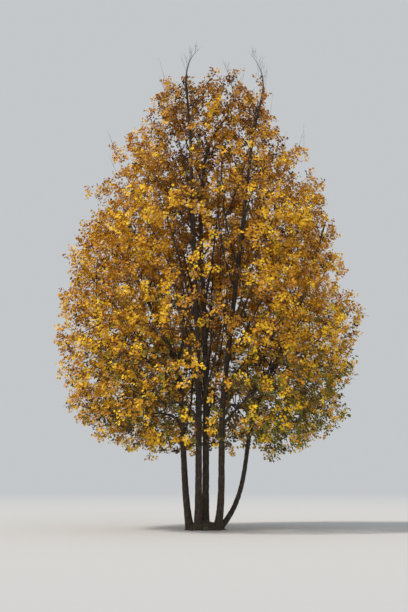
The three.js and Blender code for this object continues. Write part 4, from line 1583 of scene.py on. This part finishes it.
def make_floor(stage):
    """A pale matt floor, whose edge fades out so that no horizon shows."""
    bm = bmesh.new()
    bmesh.ops.create_circle(bm, cap_ends=True, segments=96, radius=stage.floor_radius)
    material, tree = new_material("pale_floor")
    place = add_node(tree, "TexCoord").outputs["Object"]
    away = add_node(tree, "VectorMath", {0: place}, operation="LENGTH")
    fading = {
        "Value": away.outputs["Value"],
        "From Min": FLOOR_FADE[0] * stage.floor_radius,
        "From Max": FLOOR_FADE[1] * stage.floor_radius,
    }
    fade = add_node(tree, "MapRange", fading, interpolation_type="SMOOTHSTEP")
    matt = add_node(tree, "BsdfDiffuse", {"Color": (*linear("#C8C9CA"), 1)})
    clear = add_node(tree, "BsdfTransparent")
    mix = add_node(tree, "MixShader", {0: fade.outputs[0], 1: matt.outputs[0], 2: clear.outputs[0]})
    add_node(tree, "OutputMaterial", {"Surface": mix.outputs[0]})
    floor = bpy.data.objects.new("floor", new_mesh("floor", bm, (material,), smooth=False))
    bpy.context.scene.collection.objects.link(floor)
    floor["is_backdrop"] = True


def make_world():
    world = bpy.data.worlds.new("pale_dome")
    world.use_nodes = True
    world.node_tree.nodes.clear()
    sky = add_node(world.node_tree, "Background", {"Color": (*linear("#D9DCDF"), 1), "Strength": 0.8})
    add_node(world.node_tree, "OutputWorld", {"Surface": sky.outputs[0]})
    bpy.context.scene.world = world


def soft_sun(name, strength, angle, way, colour):
    """A broad distant light, as wide as angle in degrees. way is where it shines to."""
    light = bpy.data.lights.new(name, "SUN")
    light.energy = strength
    light.angle = math.radians(angle)
    light.color = linear(colour)
    lamp = bpy.data.objects.new(name, light)
    lamp.rotation_mode = "QUATERNION"
    lamp.rotation_quaternion = Vector(way).to_track_quat("-Z", "Y")
    bpy.context.scene.collection.objects.link(lamp)


def make_camera(stage):
    """The photograph's view: eye height, forty metres off, tilted up at the crown."""
    camera = bpy.data.cameras.new("camera")
    camera.lens = stage.lens
    camera.sensor_width = 36
    camera.clip_end = 500
    eye = bpy.data.objects.new("camera", camera)
    eye.location = (0, -stage.camera_distance, stage.camera_height)
    eye.rotation_euler = (math.radians(90 + stage.camera_tilt), 0, 0)
    bpy.context.scene.collection.objects.link(eye)
    bpy.context.scene.camera = eye
    bpy.context.scene.view_settings.view_transform = "Standard"


class MAPLE_PT_tree(bpy.types.Panel):
    """Lists the tree's operators in the sidebar"""

    bl_label = "Autumn maple"
    bl_idname = "MAPLE_PT_tree"
    bl_space_type = "VIEW_3D"
    bl_region_type = "UI"
    bl_category = "Maple"

    def draw(self, context):
        for operator in OPERATORS:
            self.layout.operator(operator.bl_idname)
        for group in ("maple_sizes", "maple_colours", "maple_stage"):
            holder = getattr(context.scene, group)
            for name in holder.__annotations__:
                self.layout.prop(holder, name)


OPERATORS = (
    MAPLE_OT_stool, MAPLE_OT_stems, MAPLE_OT_boughs, MAPLE_OT_risers, MAPLE_OT_twigs,
    MAPLE_OT_leaves, MAPLE_OT_stage,
)
GROUPS = {"maple_sizes": TreeSizes, "maple_colours": TreeColours, "maple_stage": StageSizes}


def register():
    for name, group in GROUPS.items():
        bpy.utils.register_class(group)
        setattr(bpy.types.Scene, name, PointerProperty(type=group))
    for operator in OPERATORS:
        bpy.utils.register_class(operator)
    bpy.utils.register_class(MAPLE_PT_tree)


def unregister():
    bpy.utils.unregister_class(MAPLE_PT_tree)
    for operator in reversed(OPERATORS):
        bpy.utils.unregister_class(operator)
    for name, group in GROUPS.items():
        delattr(bpy.types.Scene, name)
        bpy.utils.unregister_class(group)


def main():
    register()
    bpy.ops.maple.stool()
    bpy.ops.maple.stems()
    bpy.ops.maple.boughs()
    bpy.ops.maple.risers()
    bpy.ops.maple.twigs()
    bpy.ops.maple.leaves()
    bpy.ops.maple.stage()
    {"cad": CAD_BOX, "visual": [list(corner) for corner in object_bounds()]}


if __name__ == "__main__":
    main()
